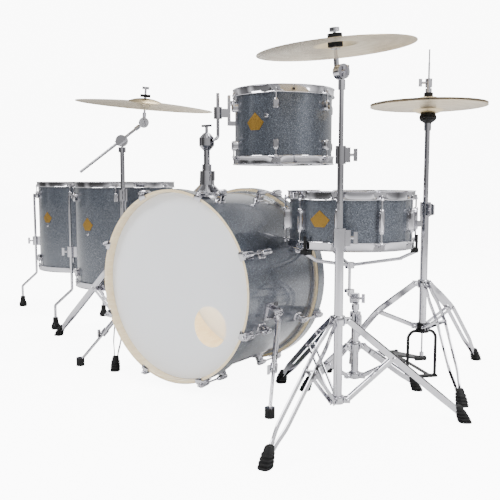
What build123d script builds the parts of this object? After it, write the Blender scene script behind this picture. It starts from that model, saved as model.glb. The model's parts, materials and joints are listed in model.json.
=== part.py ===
"""Acoustic drum kit: bass drum, rack tom, two floor toms, snare, hi-hat, crash and ride.

Millimetres, +Z up. The origin is on the floor, under the middle of the whole kit's box.
The audience is on the -Y side. Places are measured from the bass drum's middle, and
kit() moves them to the kit's own origin.
"""
from build123d import *
from math import atan2, cos, degrees, radians, sin
import os

os.makedirs("parts", exist_ok=True)

# ---------------------------------------------------------------- driving dimensions
BASS_MIDDLE = (363.397, -169.077)    # bass drum's middle, from the kit's origin
BASS_AXIS_Z = 314.0                # bass drum axis above the floor

BASS_SHELL_R = 279.4               # 22 in shell
BASS_SHELL_DEPTH = 356.0           # 14 in deep
BASS_WALL = 8.0
BASS_HOOP_R = 296.0
BASS_HOOP_WALL = 10.0
BASS_HOOP_FRONT = 207.0            # outer edge of each wooden hoop, from the middle
BASS_HOOP_BACK = 168.0             # inner edge of each wooden hoop
BASS_HEAD_Y = 178.5                # head film, from the middle
BASS_FLESH_Y = 160.0               # inner edge of the head's metal flesh hoop
BASS_FLESH_R = 285.5
PORT_R = 61.0                      # round hole in the front head
PORT_X, PORT_Z = 131.0, -110.0     # from the head's middle
BASS_CLAWS = 8
BASS_ROD_AXIS_R = 305.0            # tension rods, from the bass drum axis
BASS_ROD_R = 3.0
BASS_LUG_Y = 100.0

SHELL_WALL = 6.0
HOOP_STAND = 14.0                  # rim of a metal hoop beyond its bearing edge
HOOP_HEIGHT = 26.0
HOOP_FLARE = 8.0                   # metal hoop's outer edge beyond the shell
HEAD_FILM = 1.0

TOM_MIDDLE = (192.0, 115.0)        # 12 x 8 in rack tom
TOM_SHELL_R = 152.4
TOM_BOTTOM, TOM_TOP = 684.0, 916.0
HOLDER = (0.0, -33.0)              # tom holder on top of the bass drum
BALL_Z = 756.0
ARM = (42.0, -28.0)                # upright stretch of the tom arm

FLOOR_MIDDLES = [(-727.0, 292.0), (-1302.0, 530.0)]
FLOOR_SHELL_R = 203.2              # 16 x 16 in floor toms
FLOOR_BOTTOM, FLOOR_TOP = 198.0, 632.0
FLOOR_LEG_ANGLES = [-142.0, -22.0, 98.0]
FLOOR_LEG_R = 232.0                # upright stretch, from the drum's axis
FLOOR_FOOT_R = 306.0
FLOOR_LEG_TOP = 572.0
FLOOR_BRACKET_Z = 335.0
LEG_ROD_R = 6.0

SNARE_MIDDLE = (453.0, 79.0)       # 14 x 5.5 in snare
SNARE_SHELL_R = 177.8
SNARE_BOTTOM, SNARE_TOP = 443.0, 606.0

CRASH_POST = (537.0, -140.0)
CRASH_FEET = [(556.0, -495.0), (813.0, 37.0), (242.0, 39.0)]
CRASH_TILT_SIDE = 248.5            # the way that the crash leans, degrees from +X
CRASH_TILT = 5.7
CRASH_R = 203.0                    # 16 in

RIDE_POST = (-525.0, 95.0)
RIDE_FEET = [(-854.0, 37.0), (-290.0, -172.0), (-405.0, 408.0)]
RIDE_TILT_SIDE = -20.9
RIDE_TILT = 10.1
RIDE_R = 254.0                     # 20 in
BOOM_SIDE = 36.4                   # the way that the boom points, degrees from +X
BOOM_RISE = 37.1
BOOM_OFFSET = 20.0                 # boom axis beside the post's axis
BOOM_Z = 785.0                     # height where the boom passes the post
BOOM_BACK, BOOM_FRONT = 195.0, 108.7

HAT_POST = (571.0, 357.0)
HAT_FEET = [(301.0, 233.0), (646.0, 671.0), (766.0, 168.0)]
HAT_R = 178.0                      # 14 in
HAT_RIM_Z = 864.5                  # rim of the lower cymbal
HAT_GAP = 5.0                      # between the two rims
HAT_PEDAL_SIDE = 138.6             # the way that the footboard points, degrees from +X

SNARE_POST = (430.0, 165.0)
SNARE_FEET = [(321.0, 368.0), (342.0, 25.0), (607.0, 220.0)]

SLIDE_GAP = 0.05                   # running clearance on a radius
FREE_GAP = 0.3                     # between two bodies that only pass


# ---------------------------------------------------------------- helpers
def kit(x, y, z=0.0):
    """A point given from the bass drum's middle, in the kit's frame."""
    return (BASS_MIDDLE[0] + x, BASS_MIDDLE[1] + y, z)


def heading(angle):
    """Level unit vector at an angle from +X."""
    return Vector(cos(radians(angle)), sin(radians(angle)), 0)


def polar(middle, radius, angle, z=0.0):
    """A point round an upright axis at middle."""
    return kit(middle[0] + radius * cos(radians(angle)), middle[1] + radius * sin(radians(angle)), z)


def bar(start, end, radius, bore=0.0):
    """Round bar, or tube when it has a bore, from one point to another."""
    axis = Vector(*end) - Vector(*start)
    with BuildPart() as piece:
        with BuildSketch(Plane(origin=start, z_dir=axis)):
            Circle(radius)
            if bore:
                Circle(bore, mode=Mode.SUBTRACT)
        extrude(amount=axis.length)
    return piece.part


def post_tube(post, low, high, radius, bore=0.0):
    """Upright bar or tube on a post's axis."""
    return bar(kit(*post, low), kit(*post, high), radius, bore)


def turned_on(seat, outline):
    """Solid of revolution about a plane's normal: outline is (radius, height) points."""
    with BuildPart() as piece:
        with BuildSketch(Plane(origin=seat.origin, x_dir=seat.x_dir, z_dir=-seat.y_dir)):
            with BuildLine():
                Polyline(*outline, close=True)
            make_face()
        revolve(axis=Axis(seat.origin, seat.z_dir))
    return piece.part


def turned(middle, outline):
    """Solid of revolution about an upright axis."""
    return turned_on(Plane(origin=kit(*middle), x_dir=(1, 0, 0), z_dir=(0, 0, 1)), outline)


def block(seat, width, depth, height):
    """Block standing on a plane, centred on its origin."""
    with BuildPart() as piece:
        with BuildSketch(seat):
            Rectangle(width, depth)
        extrude(amount=height)
    return piece.part


def outward_seat(middle, radius, angle, z):
    """Upright plane that faces away from an axis, with its own X pointing up."""
    return Plane(origin=polar(middle, radius, angle, z), x_dir=(0, 0, 1), z_dir=heading(angle))


def bent_rod(points, radius, bend):
    """Round rod along straight runs joined by bends."""
    with BuildPart() as piece:
        with BuildLine() as route:
            FilletPolyline(*points, radius=bend)
        path = route.wires()[0]
        with BuildSketch(Plane(origin=path @ 0, z_dir=path % 0)):
            Circle(radius)
        sweep(path=path)
    return piece.part


def join(*pieces):
    """One solid from touching pieces."""
    with BuildPart() as whole:
        for piece in pieces:
            add(piece)
    return whole.part


def less(piece, *cuts):
    """A piece with others cut out of it."""
    with BuildPart() as rest:
        add(piece)
        for cut in cuts:
            add(cut, mode=Mode.SUBTRACT)
    return rest.part


def save(name, *pieces):
    """Write one node: a single solid, or a group of separate solids."""
    solids = []
    for piece in pieces:
        solids += piece.solids()
    shape = solids[0] if len(solids) == 1 else Compound(children=solids)
    shape.label = name
    export_step(shape, f"parts/{name}.step")


def wing_bolt(start, way, shank=14.0, wing=30.0, shank_r=4.0):
    """Wing bolt that sticks out of a clamp: its wings stand across the way it points."""
    begin = Vector(*start)
    end = begin + way * shank
    seat = Plane(origin=end, x_dir=(0, 0, 1), z_dir=way)
    return join(bar(begin, end, shank_r), block(seat, wing, 5.0, 10.0))


# ---------------------------------------------------------------- bass drum
BASS_ORIGIN = kit(0, 0, BASS_AXIS_Z)
BASS_AXIS = Axis(BASS_ORIGIN, (0, 1, 0))
BASS_SECTION = Plane(origin=BASS_ORIGIN, x_dir=(0, 1, 0), z_dir=(1, 0, 0))


def bass_point(radius, angle, along):
    """A point round the bass drum: angle from +X, along its axis."""
    return kit(radius * cos(radians(angle)), along, BASS_AXIS_Z + radius * sin(radians(angle)))


def bass_seat(radius, angle, along):
    """Plane that faces away from the bass drum axis, with its own X along that axis."""
    outward = (cos(radians(angle)), 0, sin(radians(angle)))
    return Plane(origin=bass_point(radius, angle, along), x_dir=(0, 1, 0), z_dir=outward)


def bass_ring(outline):
    """Solid of revolution about the bass drum axis: outline is (along, radius) points."""
    with BuildPart() as piece:
        with BuildSketch(BASS_SECTION):
            with BuildLine():
                Polyline(*outline, close=True)
            make_face()
        revolve(axis=BASS_AXIS)
    return piece.part


half_depth = BASS_SHELL_DEPTH / 2
inner_r = BASS_SHELL_R - BASS_WALL
save("bass_shell", bass_ring([(-half_depth, BASS_SHELL_R - 3), (3 - half_depth, BASS_SHELL_R),
                              (half_depth - 3, BASS_SHELL_R), (half_depth, BASS_SHELL_R - 3),
                              (half_depth - 5, inner_r), (5 - half_depth, inner_r)]))
bass_barrel = bass_ring([(-half_depth, 0), (-half_depth, BASS_SHELL_R), (half_depth, BASS_SHELL_R),
                         (half_depth, 0)])

bass_hoops = []
for side in (-1, 1):
    inner = BASS_HOOP_R - BASS_HOOP_WALL
    bass_hoops.append(bass_ring([(side * BASS_HOOP_BACK, inner), (side * BASS_HOOP_BACK, BASS_HOOP_R),
                                 (side * (BASS_HOOP_FRONT - 2), BASS_HOOP_R),
                                 (side * BASS_HOOP_FRONT, BASS_HOOP_R - 2),
                                 (side * BASS_HOOP_FRONT, inner + 2),
                                 (side * (BASS_HOOP_FRONT - 2), inner)]))
save("bass_hoops", *bass_hoops)


def bass_head(side):
    """Head film with its metal flesh hoop over the end of the shell."""
    outer = side * (BASS_HEAD_Y + HEAD_FILM)
    clear_r = BASS_SHELL_R + 0.6
    return bass_ring([(side * BASS_HEAD_Y, 0), (outer, 0), (outer, BASS_FLESH_R),
                      (side * BASS_FLESH_Y, BASS_FLESH_R), (side * BASS_FLESH_Y, clear_r),
                      (side * BASS_HEAD_Y, clear_r)])


port_from = kit(PORT_X, -BASS_HEAD_Y - 10, BASS_AXIS_Z + PORT_Z)
port_to = kit(PORT_X, -BASS_HEAD_Y + 10, BASS_AXIS_Z + PORT_Z)
save("bass_front_head", less(bass_head(-1), bar(port_from, port_to, PORT_R)))
save("bass_rear_head", bass_head(1))


def bass_claw(side, angle):
    """Claw hooked over a wooden hoop, with the boss that its rod passes through."""
    pad = block(bass_seat(BASS_HOOP_R + 0.2, angle, side * 190), 39, 26, 5)
    lip = block(bass_seat(BASS_HOOP_R - 12, angle, side * (BASS_HOOP_FRONT + 2.8)), 5, 22, 17.2)
    boss = bar(bass_point(BASS_ROD_AXIS_R, angle, side * 178),
               bass_point(BASS_ROD_AXIS_R, angle, side * 209), 7.5)
    passage = bar(bass_point(BASS_ROD_AXIS_R, angle, side * 160),
                  bass_point(BASS_ROD_AXIS_R, angle, side * 220), BASS_ROD_R + 0.3)
    return less(join(pad, lip, boss), passage)


def bass_rod(side, angle):
    """Key rod: a square-topped screw through the claw into the lug."""
    shank = bar(bass_point(BASS_ROD_AXIS_R, angle, side * BASS_LUG_Y),
                bass_point(BASS_ROD_AXIS_R, angle, side * 211), BASS_ROD_R)
    cap = bar(bass_point(BASS_ROD_AXIS_R, angle, side * 209.3),
              bass_point(BASS_ROD_AXIS_R, angle, side * 220), 5.0)
    return join(shank, cap)


bass_claws, bass_lugs = [], []
for side in (-1, 1):
    for k in range(BASS_CLAWS):
        angle = (k + 0.5) * 360 / BASS_CLAWS
        rod = bass_rod(side, angle)
        bass_claws += [bass_claw(side, angle), rod]
        tower = block(bass_seat(BASS_SHELL_R - 2, angle, side * BASS_LUG_Y), 22, 18, 26)
        barrel = bar(bass_point(BASS_ROD_AXIS_R, angle, side * (BASS_LUG_Y - 14)),
                     bass_point(BASS_ROD_AXIS_R, angle, side * (BASS_LUG_Y + 14)), 8.5)
        bass_lugs.append(less(join(tower, barrel), bass_barrel, rod))
save("bass_claws", *bass_claws)
save("bass_lugs", *bass_lugs)

SPUR_Y = -75.0
SPUR_DROP = 12.5                   # bracket below the drum's widest line, degrees
SPUR_PIVOT_R = 300.0
SPUR_R = 8.0
SPUR_TIP_R = 5.0
SPUR_FEET = {"right": (385.0, -236.0), "left": (-430.0, -205.0)}


def spur_bracket(angle):
    """Plate on the shell with two ears and the pin that the spur folds on."""
    plate = block(bass_seat(BASS_SHELL_R - 3, angle, SPUR_Y), 58, 52, 9)
    pieces = [plate]
    for near, far in ((-22, -12), (12, 22)):
        pieces.append(bar(bass_point(SPUR_PIVOT_R, angle, SPUR_Y + near),
                          bass_point(SPUR_PIVOT_R, angle, SPUR_Y + far), 13))
        pieces.append(block(bass_seat(BASS_SHELL_R, angle, SPUR_Y + (near + far) / 2), 10, 24, 20))
    pieces.append(bar(bass_point(SPUR_PIVOT_R, angle, SPUR_Y - 14),
                      bass_point(SPUR_PIVOT_R, angle, SPUR_Y + 14), 4.0))
    return less(join(*pieces), bass_barrel)


def spur(angle, foot):
    """Folding spur: knuckle, outer tube with its collar, inner rod and rubber foot."""
    pivot = Vector(*bass_point(SPUR_PIVOT_R, angle, SPUR_Y))
    toe = Vector(*kit(*foot, 0))
    ankle = toe + Vector(0, 0, 16)
    along_pin = Vector(0, 1, 0)
    fall = ankle - pivot
    elbow = pivot + (fall - along_pin * fall.Y).normalized() * 26
    way = (ankle - elbow).normalized()
    sleeve_end = elbow + way * 160
    solid = join(bar(pivot - along_pin * 11.7, pivot + along_pin * 11.7, 12),
                 bar(pivot, elbow, SPUR_R), bar(elbow, sleeve_end, SPUR_R),
                 bar(elbow - way * 5, elbow + way * 5, SPUR_R + 1),
                 bar(sleeve_end - way * 24, sleeve_end, 11),
                 wing_bolt(sleeve_end - way * 12, Vector(0, -1, 0), 20, 26),
                 bar(sleeve_end, ankle, SPUR_TIP_R), bar(toe, toe + Vector(0, 0, 28), 14))
    pin_hole = bar(pivot - along_pin * 16, pivot + along_pin * 16, 4.0 + SLIDE_GAP)
    return less(solid, pin_hole)


save("spur_brackets", spur_bracket(-SPUR_DROP), spur_bracket(180 + SPUR_DROP))
save("spur_right", spur(-SPUR_DROP, SPUR_FEET["right"]))
save("spur_left", spur(180 + SPUR_DROP, SPUR_FEET["left"]))

# ---------------------------------------------------------------- tom holder
POST_R = 10.0
BALL_R = 14.0
ARM_R = 5.25
BASE_Z = BASS_AXIS_Z + BASS_SHELL_R
tom_base = turned(HOLDER, [(0, BASE_Z - 12), (48, BASE_Z - 12), (48, BASE_Z + 4), (24, BASE_Z + 28),
                           (22, BASE_Z + 72), (0, BASE_Z + 72)])
tom_base_bolt = wing_bolt(polar(HOLDER, 16, -20, BASE_Z + 56), heading(-20), 20, 30)
save("tom_base", less(join(tom_base, tom_base_bolt), bass_barrel,
                      post_tube(HOLDER, BASE_Z + 16, BASE_Z + 80, POST_R + SLIDE_GAP)))

POST_SHOULDER = BASE_Z + 72.3      # where the post's collar rests over its socket
with BuildPart() as tom_post:
    with BuildSketch(Plane(origin=kit(*HOLDER), x_dir=(1, 0, 0), z_dir=(0, -1, 0))):
        with BuildLine():
            Polyline((0, BASE_Z + 20), (POST_R, BASE_Z + 20), (POST_R, POST_SHOULDER), (15, POST_SHOULDER),
                     (15, POST_SHOULDER + 20), (POST_R, POST_SHOULDER + 20), (POST_R, BALL_Z - 26),
                     (12, BALL_Z - 26), (24, BALL_Z - 12), (24, BALL_Z + 12), (12, BALL_Z + 26),
                     (5, BALL_Z + 30), (5, BALL_Z + 48), (0, BALL_Z + 48), close=True)
        make_face()
        with Locations((0, BALL_Z)):
            Circle(BALL_R + FREE_GAP, mode=Mode.SUBTRACT)
    revolve(axis=Axis(kit(*HOLDER), (0, 0, 1)))
mouth_way = Vector(cos(radians(8)), sin(radians(8)), 0.25).normalized()
ball_middle = Vector(*kit(*HOLDER, BALL_Z))
mouth = bar(ball_middle, ball_middle + mouth_way * 50, 13.0)
thumb_screw = block(Plane(origin=kit(*HOLDER, BALL_Z + 47)), 36, 9, 7)
save("tom_post", less(join(tom_post.part, thumb_screw), mouth))

ARM_KNEE_Z = BALL_Z + ARM[0] * mouth_way.Z / mouth_way.X
ARM_TOP = 905.0
BALL_FLAT = 11.0                   # flat on the ball where the arm begins, from its middle
ball_side = Vector(-mouth_way.Y, mouth_way.X, 0).normalized()
with BuildPart() as ball:
    with BuildSketch(Plane(origin=ball_middle, x_dir=ball_side, z_dir=ball_side.cross(mouth_way))):
        Circle(BALL_R)
        with Locations((-BALL_R, 0)):
            Rectangle(2 * BALL_R, 4 * BALL_R, mode=Mode.SUBTRACT)
        with Locations((0, BALL_FLAT + BALL_R)):
            Rectangle(4 * BALL_R, 2 * BALL_R, mode=Mode.SUBTRACT)
    revolve(axis=Axis(ball_middle, mouth_way))
arm_bar = bent_rod([ball_middle + mouth_way * BALL_FLAT, kit(*ARM, ARM_KNEE_Z), kit(*ARM, ARM_TOP)], ARM_R, 11)
save("tom_arm", join(ball.part, arm_bar))


# ---------------------------------------------------------------- drums on end
def drum_shell(middle, radius, bottom, top):
    """Open wooden shell with bevelled bearing edges."""
    low, high = bottom + HOOP_STAND, top - HOOP_STAND
    inside = radius - SHELL_WALL
    return turned(middle, [(radius - 2, low), (radius, low + 2), (radius, high - 2), (radius - 2, high),
                           (inside, high - 4), (inside, low + 4)])


def drum_hoop(middle, radius, rim, inward):
    """Flanged metal hoop: rim is its outer edge's height, and inward is -1 at the top."""
    skirt = rim + inward * HOOP_HEIGHT
    edge = radius + HOOP_FLARE
    neck = radius + 5.6
    bore = radius + 3.2
    return turned(middle, [(bore, rim), (edge - 1, rim), (edge, rim + inward * 1.2),
                           (neck, rim + inward * 2.6), (neck, skirt - inward * 2.4),
                           (edge, skirt - inward * 2.4), (edge, skirt), (bore, skirt)])


def drum_head(middle, radius, rim, inward):
    """Coated head: a film over the bearing edge and its flesh hoop round the shell."""
    edge = rim + inward * HOOP_STAND
    film = edge - inward * HEAD_FILM
    skirt = edge + inward * 9
    return turned(middle, [(0, film), (radius + 2.9, film), (radius + 2.9, skirt), (radius + 0.4, skirt),
                           (radius + 0.4, edge), (0, edge)])


def drum_lugs(middle, radius, count, first, spans, height):
    """Lugs with their rods. spans are (lug height, rim height) for each end of the drum.

    Two rods that share a lug height share one double-ended lug.
    """
    solids = []
    axis_r = radius + HOOP_FLARE + 4.6
    for k in range(count):
        angle = first + 360 * k / count
        for shared_z in sorted({lug_z for lug_z, rim_z in spans}):
            rods = []
            for lug_z, rim_z in spans:
                if lug_z == shared_z:
                    way = 1 if rim_z > lug_z else -1
                    ear_z = rim_z - way * HOOP_HEIGHT
                    inside = polar(middle, axis_r, angle, lug_z + way * (height / 2 - 9))
                    ear = polar(middle, axis_r, angle, ear_z)
                    tip = polar(middle, axis_r, angle, ear_z + way * 13)
                    rods.append(join(bar(inside, ear, 2.6), bar(ear, tip, 4.4)))
            with BuildPart() as lug:
                with BuildSketch(outward_seat(middle, radius + 0.2, angle, shared_z)):
                    RectangleRounded(height, 17, 6)
                extrude(amount=17, taper=8)
            solids += rods + [less(lug.part, *rods)]
    return solids


def drum_ends(maker, middle, radius, bottom, top):
    """One piece at each end of a drum."""
    return [maker(middle, radius, bottom, 1), maker(middle, radius, top, -1)]


TOM_LUG_FIRST = -64.0
tom_size = (TOM_MIDDLE, TOM_SHELL_R, TOM_BOTTOM, TOM_TOP)
save("tom_shell", drum_shell(*tom_size))
save("tom_hoops", *drum_ends(drum_hoop, *tom_size))
save("tom_heads", *drum_ends(drum_head, *tom_size))
save("tom_lugs", *drum_lugs(TOM_MIDDLE, TOM_SHELL_R, 6, TOM_LUG_FIRST, [(742, TOM_BOTTOM), (858, TOM_TOP)], 30))

mount_from = Vector(TOM_MIDDLE[0] - ARM[0], TOM_MIDDLE[1] - ARM[1], 0)
MOUNT_ANGLE = degrees(atan2(-mount_from.Y, -mount_from.X))
mount_gap = mount_from.length - TOM_SHELL_R
tom_mount = join(block(outward_seat(TOM_MIDDLE, TOM_SHELL_R + 16, MOUNT_ANGLE, 852), 92, 26, 8),
                 block(outward_seat(TOM_MIDDLE, TOM_SHELL_R + 0.2, MOUNT_ANGLE, 812), 14, 16, 18),
                 block(outward_seat(TOM_MIDDLE, TOM_SHELL_R + 0.2, MOUNT_ANGLE, 874), 14, 16, 18),
                 block(outward_seat(TOM_MIDDLE, TOM_SHELL_R + 22, MOUNT_ANGLE, 844), 26, 16, mount_gap - 24),
                 post_tube(ARM, 826, 862, 13))
save("tom_mount", less(tom_mount, post_tube(ARM, 800, 880, ARM_R + SLIDE_GAP)))

# ---------------------------------------------------------------- floor toms
FLOOR_LUG_FIRST = -112.0
floor_shells, floor_hoops, floor_heads, floor_lugs, floor_brackets = [], [], [], [], []
leg_number = 0
for middle in FLOOR_MIDDLES:
    size = (middle, FLOOR_SHELL_R, FLOOR_BOTTOM, FLOOR_TOP)
    floor_shells.append(drum_shell(*size))
    floor_hoops += drum_ends(drum_hoop, *size)
    floor_heads += drum_ends(drum_head, *size)
    floor_lugs += drum_lugs(middle, FLOOR_SHELL_R, 6, FLOOR_LUG_FIRST, [(262, FLOOR_BOTTOM), (568, FLOOR_TOP)], 34)
    for angle in FLOOR_LEG_ANGLES:
        leg_number += 1
        low, high = FLOOR_BRACKET_Z - 22, FLOOR_BRACKET_Z + 22
        bracket = join(block(outward_seat(middle, FLOOR_SHELL_R + 0.2, angle, FLOOR_BRACKET_Z), 44, 30, 14),
                       bar(polar(middle, FLOOR_LEG_R, angle, low), polar(middle, FLOOR_LEG_R, angle, high), 15),
                       wing_bolt(polar(middle, FLOOR_LEG_R + 12, angle, FLOOR_BRACKET_Z), heading(angle), 16, 32))
        passage = bar(polar(middle, FLOOR_LEG_R, angle, low - 5), polar(middle, FLOOR_LEG_R, angle, high + 5),
                      LEG_ROD_R + SLIDE_GAP)
        floor_brackets.append(less(bracket, passage))
        route = [polar(middle, FLOOR_LEG_R, angle, FLOOR_LEG_TOP), polar(middle, FLOOR_LEG_R, angle, 172),
                 polar(middle, FLOOR_FOOT_R, angle, 104), polar(middle, FLOOR_FOOT_R, angle, 10)]
        foot_seat = Plane(origin=polar(middle, FLOOR_FOOT_R, angle))
        foot = turned_on(foot_seat, [(0, 0), (17, 0), (19, 6), (19, 16), (12, 32), (11, 52), (0, 52)])
        save(f"floor_leg_{leg_number}", join(bent_rod(route, LEG_ROD_R, 14), foot))
save("floor_shells", *floor_shells)
save("floor_hoops", *floor_hoops)
save("floor_heads", *floor_heads)
save("floor_lugs", *floor_lugs)
save("floor_brackets", *floor_brackets)

# ---------------------------------------------------------------- snare
SNARE_LUG_FIRST = -36.8
THROW_ANGLE = 17.0                 # throw-off, on the side by the hi-hat
snare_size = (SNARE_MIDDLE, SNARE_SHELL_R, SNARE_BOTTOM, SNARE_TOP)
snare_mid_z = (SNARE_BOTTOM + SNARE_TOP) / 2
save("snare_shell", drum_shell(*snare_size))
save("snare_hoops", *drum_ends(drum_hoop, *snare_size))
save("snare_heads", *drum_ends(drum_head, *snare_size))
save("snare_lugs", *drum_lugs(SNARE_MIDDLE, SNARE_SHELL_R, 10, SNARE_LUG_FIRST,
                              [(snare_mid_z, SNARE_BOTTOM), (snare_mid_z, SNARE_TOP)], 62))

LEVER_R = SNARE_SHELL_R + 20
LEVER_Z = snare_mid_z - 12
across = heading(THROW_ANGLE + 90)
lever_pivot = Vector(*polar(SNARE_MIDDLE, LEVER_R, THROW_ANGLE, LEVER_Z))
throw_off = [block(outward_seat(SNARE_MIDDLE, SNARE_SHELL_R + 0.2, THROW_ANGLE, snare_mid_z - 6), 56, 30, 9)]
for way in (-1, 1):
    cheek = lever_pivot + across * (way * 11)
    throw_off.append(bar(cheek - across * 2, cheek + across * 2, 8))
    cheek_seat = Plane(origin=cheek - heading(THROW_ANGLE) * 12, x_dir=across, z_dir=heading(THROW_ANGLE))
    throw_off.append(block(cheek_seat, 4, 16, 12))
throw_off.append(bar(lever_pivot - across * 10, lever_pivot + across * 10, 2.5))
butt = block(outward_seat(SNARE_MIDDLE, SNARE_SHELL_R + 0.2, THROW_ANGLE + 180, snare_mid_z - 18), 34, 30, 16)
save("snare_strainer", join(*throw_off), butt)

lever_arm = block(Plane(origin=lever_pivot + heading(THROW_ANGLE) * 3, x_dir=across, z_dir=(0, 0, 1)), 14, 5, 50)
lever = join(bar(lever_pivot - across * 8.6, lever_pivot + across * 8.6, 6), lever_arm)
save("snare_lever", less(lever, bar(lever_pivot - across * 12, lever_pivot + across * 12, 2.5 + SLIDE_GAP)))

WIRE_COUNT = 12
WIRE_Z = SNARE_BOTTOM + HOOP_STAND - HEAD_FILM - 1.3
along = heading(THROW_ANGLE)
snare_middle = Vector(*kit(*SNARE_MIDDLE, WIRE_Z))
wires = []
for k in range(WIRE_COUNT):
    start = snare_middle - along * 148 + across * ((k - (WIRE_COUNT - 1) / 2) * 3.4)
    wires.append(bar(start, start + along * 296, 0.9))
for way in (-1, 1):
    clip = Plane(origin=snare_middle + along * (way * 150) - Vector(0, 0, 2), x_dir=along, z_dir=(0, 0, 1))
    wires.append(block(clip, 12, 42, 2.9))
save("snare_wires", join(*wires))


# ---------------------------------------------------------------- stands
CHANNEL_W, CHANNEL_H, CHANNEL_WALL = 14.0, 18.0, 2.0
BRACE_W, BRACE_T = 12.0, 2.5
FOOT_Z = 26.0                      # middle of a leg where its rubber foot begins
UP = Vector(0, 0, 1)


def channel(start, end, side):
    """Steel leg between two points: a channel that is open underneath."""
    run = end - start
    with BuildPart() as leg:
        with BuildSketch(Plane(origin=start, x_dir=side, z_dir=run)):
            Rectangle(CHANNEL_W, CHANNEL_H)
            with Locations((0, -CHANNEL_WALL)):
                Rectangle(CHANNEL_W - 2 * CHANNEL_WALL, CHANNEL_H, mode=Mode.SUBTRACT)
        extrude(amount=run.length)
    return leg.part


def rubber_foot(toe, way, side, size):
    """Rubber foot over the end of a leg, flat on the floor."""
    heel = toe - way * (size * 0.9)
    with BuildPart() as foot:
        with BuildSketch(Plane(origin=heel, x_dir=way, z_dir=-side)):
            with BuildLine():
                Polyline((0.15 * size, 0), (1.5 * size, 0), (1.6 * size, 0.5 * size), (0.75 * size, 1.5 * size),
                         (0, 0.95 * size), close=True)
            make_face()
        extrude(amount=size * 0.5, both=True)
    return foot.part


def tripod(post, feet, tube_r, collar_z, hub_z, knee, bow=0.0, foot_size=26.0):
    """Collar, lower hub, and a leg with two brace strips and a rubber foot for each side.

    knee is the place of the brace's pin along the leg, 0 at the collar and 1 at the foot,
    and bow is how far the leg is bent up there.
    """
    collar = post_tube(post, collar_z - 13, collar_z + 13, tube_r + 6, tube_r)
    hub = post_tube(post, hub_z - 10, hub_z + 10, tube_r + 6, tube_r)
    legs, collar_ears, hub_ears = [], [collar], [hub]
    for foot in feet:
        toe = Vector(*kit(*foot))
        middle = Vector(*kit(*post))
        way = (toe - middle).normalized()
        side = Vector(-way.Y, way.X, 0)
        top = middle + way * (tube_r + 14) + Vector(0, 0, collar_z)
        low = toe - way * 16 + Vector(0, 0, FOOT_Z)
        pin = top + (low - top) * knee + Vector(0, 0, bow)
        boot = rubber_foot(toe, way, side, foot_size)
        if bow:
            leg = join(channel(top, pin, side), channel(pin, low, side))
        else:
            leg = channel(top, low, side)
        legs += [less(leg, boot), boot]
        hub_pin = middle + way * (tube_r + 14) + Vector(0, 0, hub_z)
        brace = pin - hub_pin
        for across_by in (-1, 1):
            offset = side * (across_by * (CHANNEL_W + BRACE_T) / 2)
            strip = Plane(origin=hub_pin + offset - brace.normalized() * 5, x_dir=side, z_dir=brace)
            legs.append(block(strip, BRACE_T, BRACE_W, brace.length + 10))
        ear = Plane(origin=middle + way * (tube_r + 3) + Vector(0, 0, collar_z), x_dir=side, z_dir=way)
        collar_ears.append(less(block(ear, CHANNEL_W - 2 * CHANNEL_WALL, 20, 18), leg))
        ear = Plane(origin=middle + way * (tube_r + 3) + Vector(0, 0, hub_z), x_dir=side, z_dir=way)
        hub_ears.append(block(ear, CHANNEL_W, 16, 17))
    return legs + [join(*collar_ears), join(*hub_ears)]


def clamp(post, low, high, tube_r, side):
    """Height clamp on the top of a tube, with its wing bolt."""
    ear = Plane(origin=polar(post, tube_r + 2, side, (low + high) / 2), x_dir=(0, 0, 1), z_dir=heading(side))
    bolt = wing_bolt(polar(post, tube_r + 12, side, (low + high) / 2), heading(side), 12, 32)
    return join(post_tube(post, low, high, tube_r + 5), block(ear, high - low - 8, 18, 14), bolt)


def lower_tube(post, low, clamp_low, clamp_high, tube_r, inner_r, side):
    """Outer tube with its clamp, bored for the tube that slides in it."""
    outer = join(post_tube(post, low, clamp_low + 8, tube_r), clamp(post, clamp_low, clamp_high, tube_r, side))
    return less(outer, post_tube(post, low + 3, clamp_high - 14, tube_r - 1.5),
                post_tube(post, clamp_high - 15, clamp_high + 1, inner_r + SLIDE_GAP))


def tilter_neck(pivot, axis, drop, radius=4.5):
    """Neck that carries the fixed half of a tilter, clear of the half that turns."""
    root = pivot + axis * (radius + 0.2)
    return bar(root - UP * drop, root, radius)


def ratchet_half(pivot, axis, near, far, radius=19.0):
    """One toothed half of a tilter, between two places along its axis."""
    return bar(pivot + axis * near, pivot + axis * far, radius)


def cymbal(seat, radius, bell_r, bell_h, bow, hole, thick):
    """Turned bronze cymbal. The seat is where the bell's hollow side rests, pointing out of the bell."""
    drop = bell_h + bow
    bell_mid = (hole + (bell_r - hole) * 0.62, -bell_h * 0.36)
    bow_mid = ((bell_r + radius) / 2, -bell_h - bow * 0.36)
    with BuildPart() as disc:
        with BuildSketch(Plane(origin=seat.origin, x_dir=seat.x_dir, z_dir=-seat.y_dir)):
            with BuildLine():
                ThreePointArc((hole, 0), bell_mid, (bell_r, -bell_h))
                ThreePointArc((bell_r, -bell_h), bow_mid, (radius, -drop))
                Line((radius, -drop), (radius, thick - drop))
                ThreePointArc((radius, thick - drop), (bow_mid[0], bow_mid[1] + thick), (bell_r, thick - bell_h))
                ThreePointArc((bell_r, thick - bell_h), (bell_mid[0], bell_mid[1] + thick), (hole, thick))
                Line((hole, thick), (hole, 0))
            make_face()
        revolve(axis=Axis(seat.origin, seat.z_dir))
    return disc.part


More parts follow.
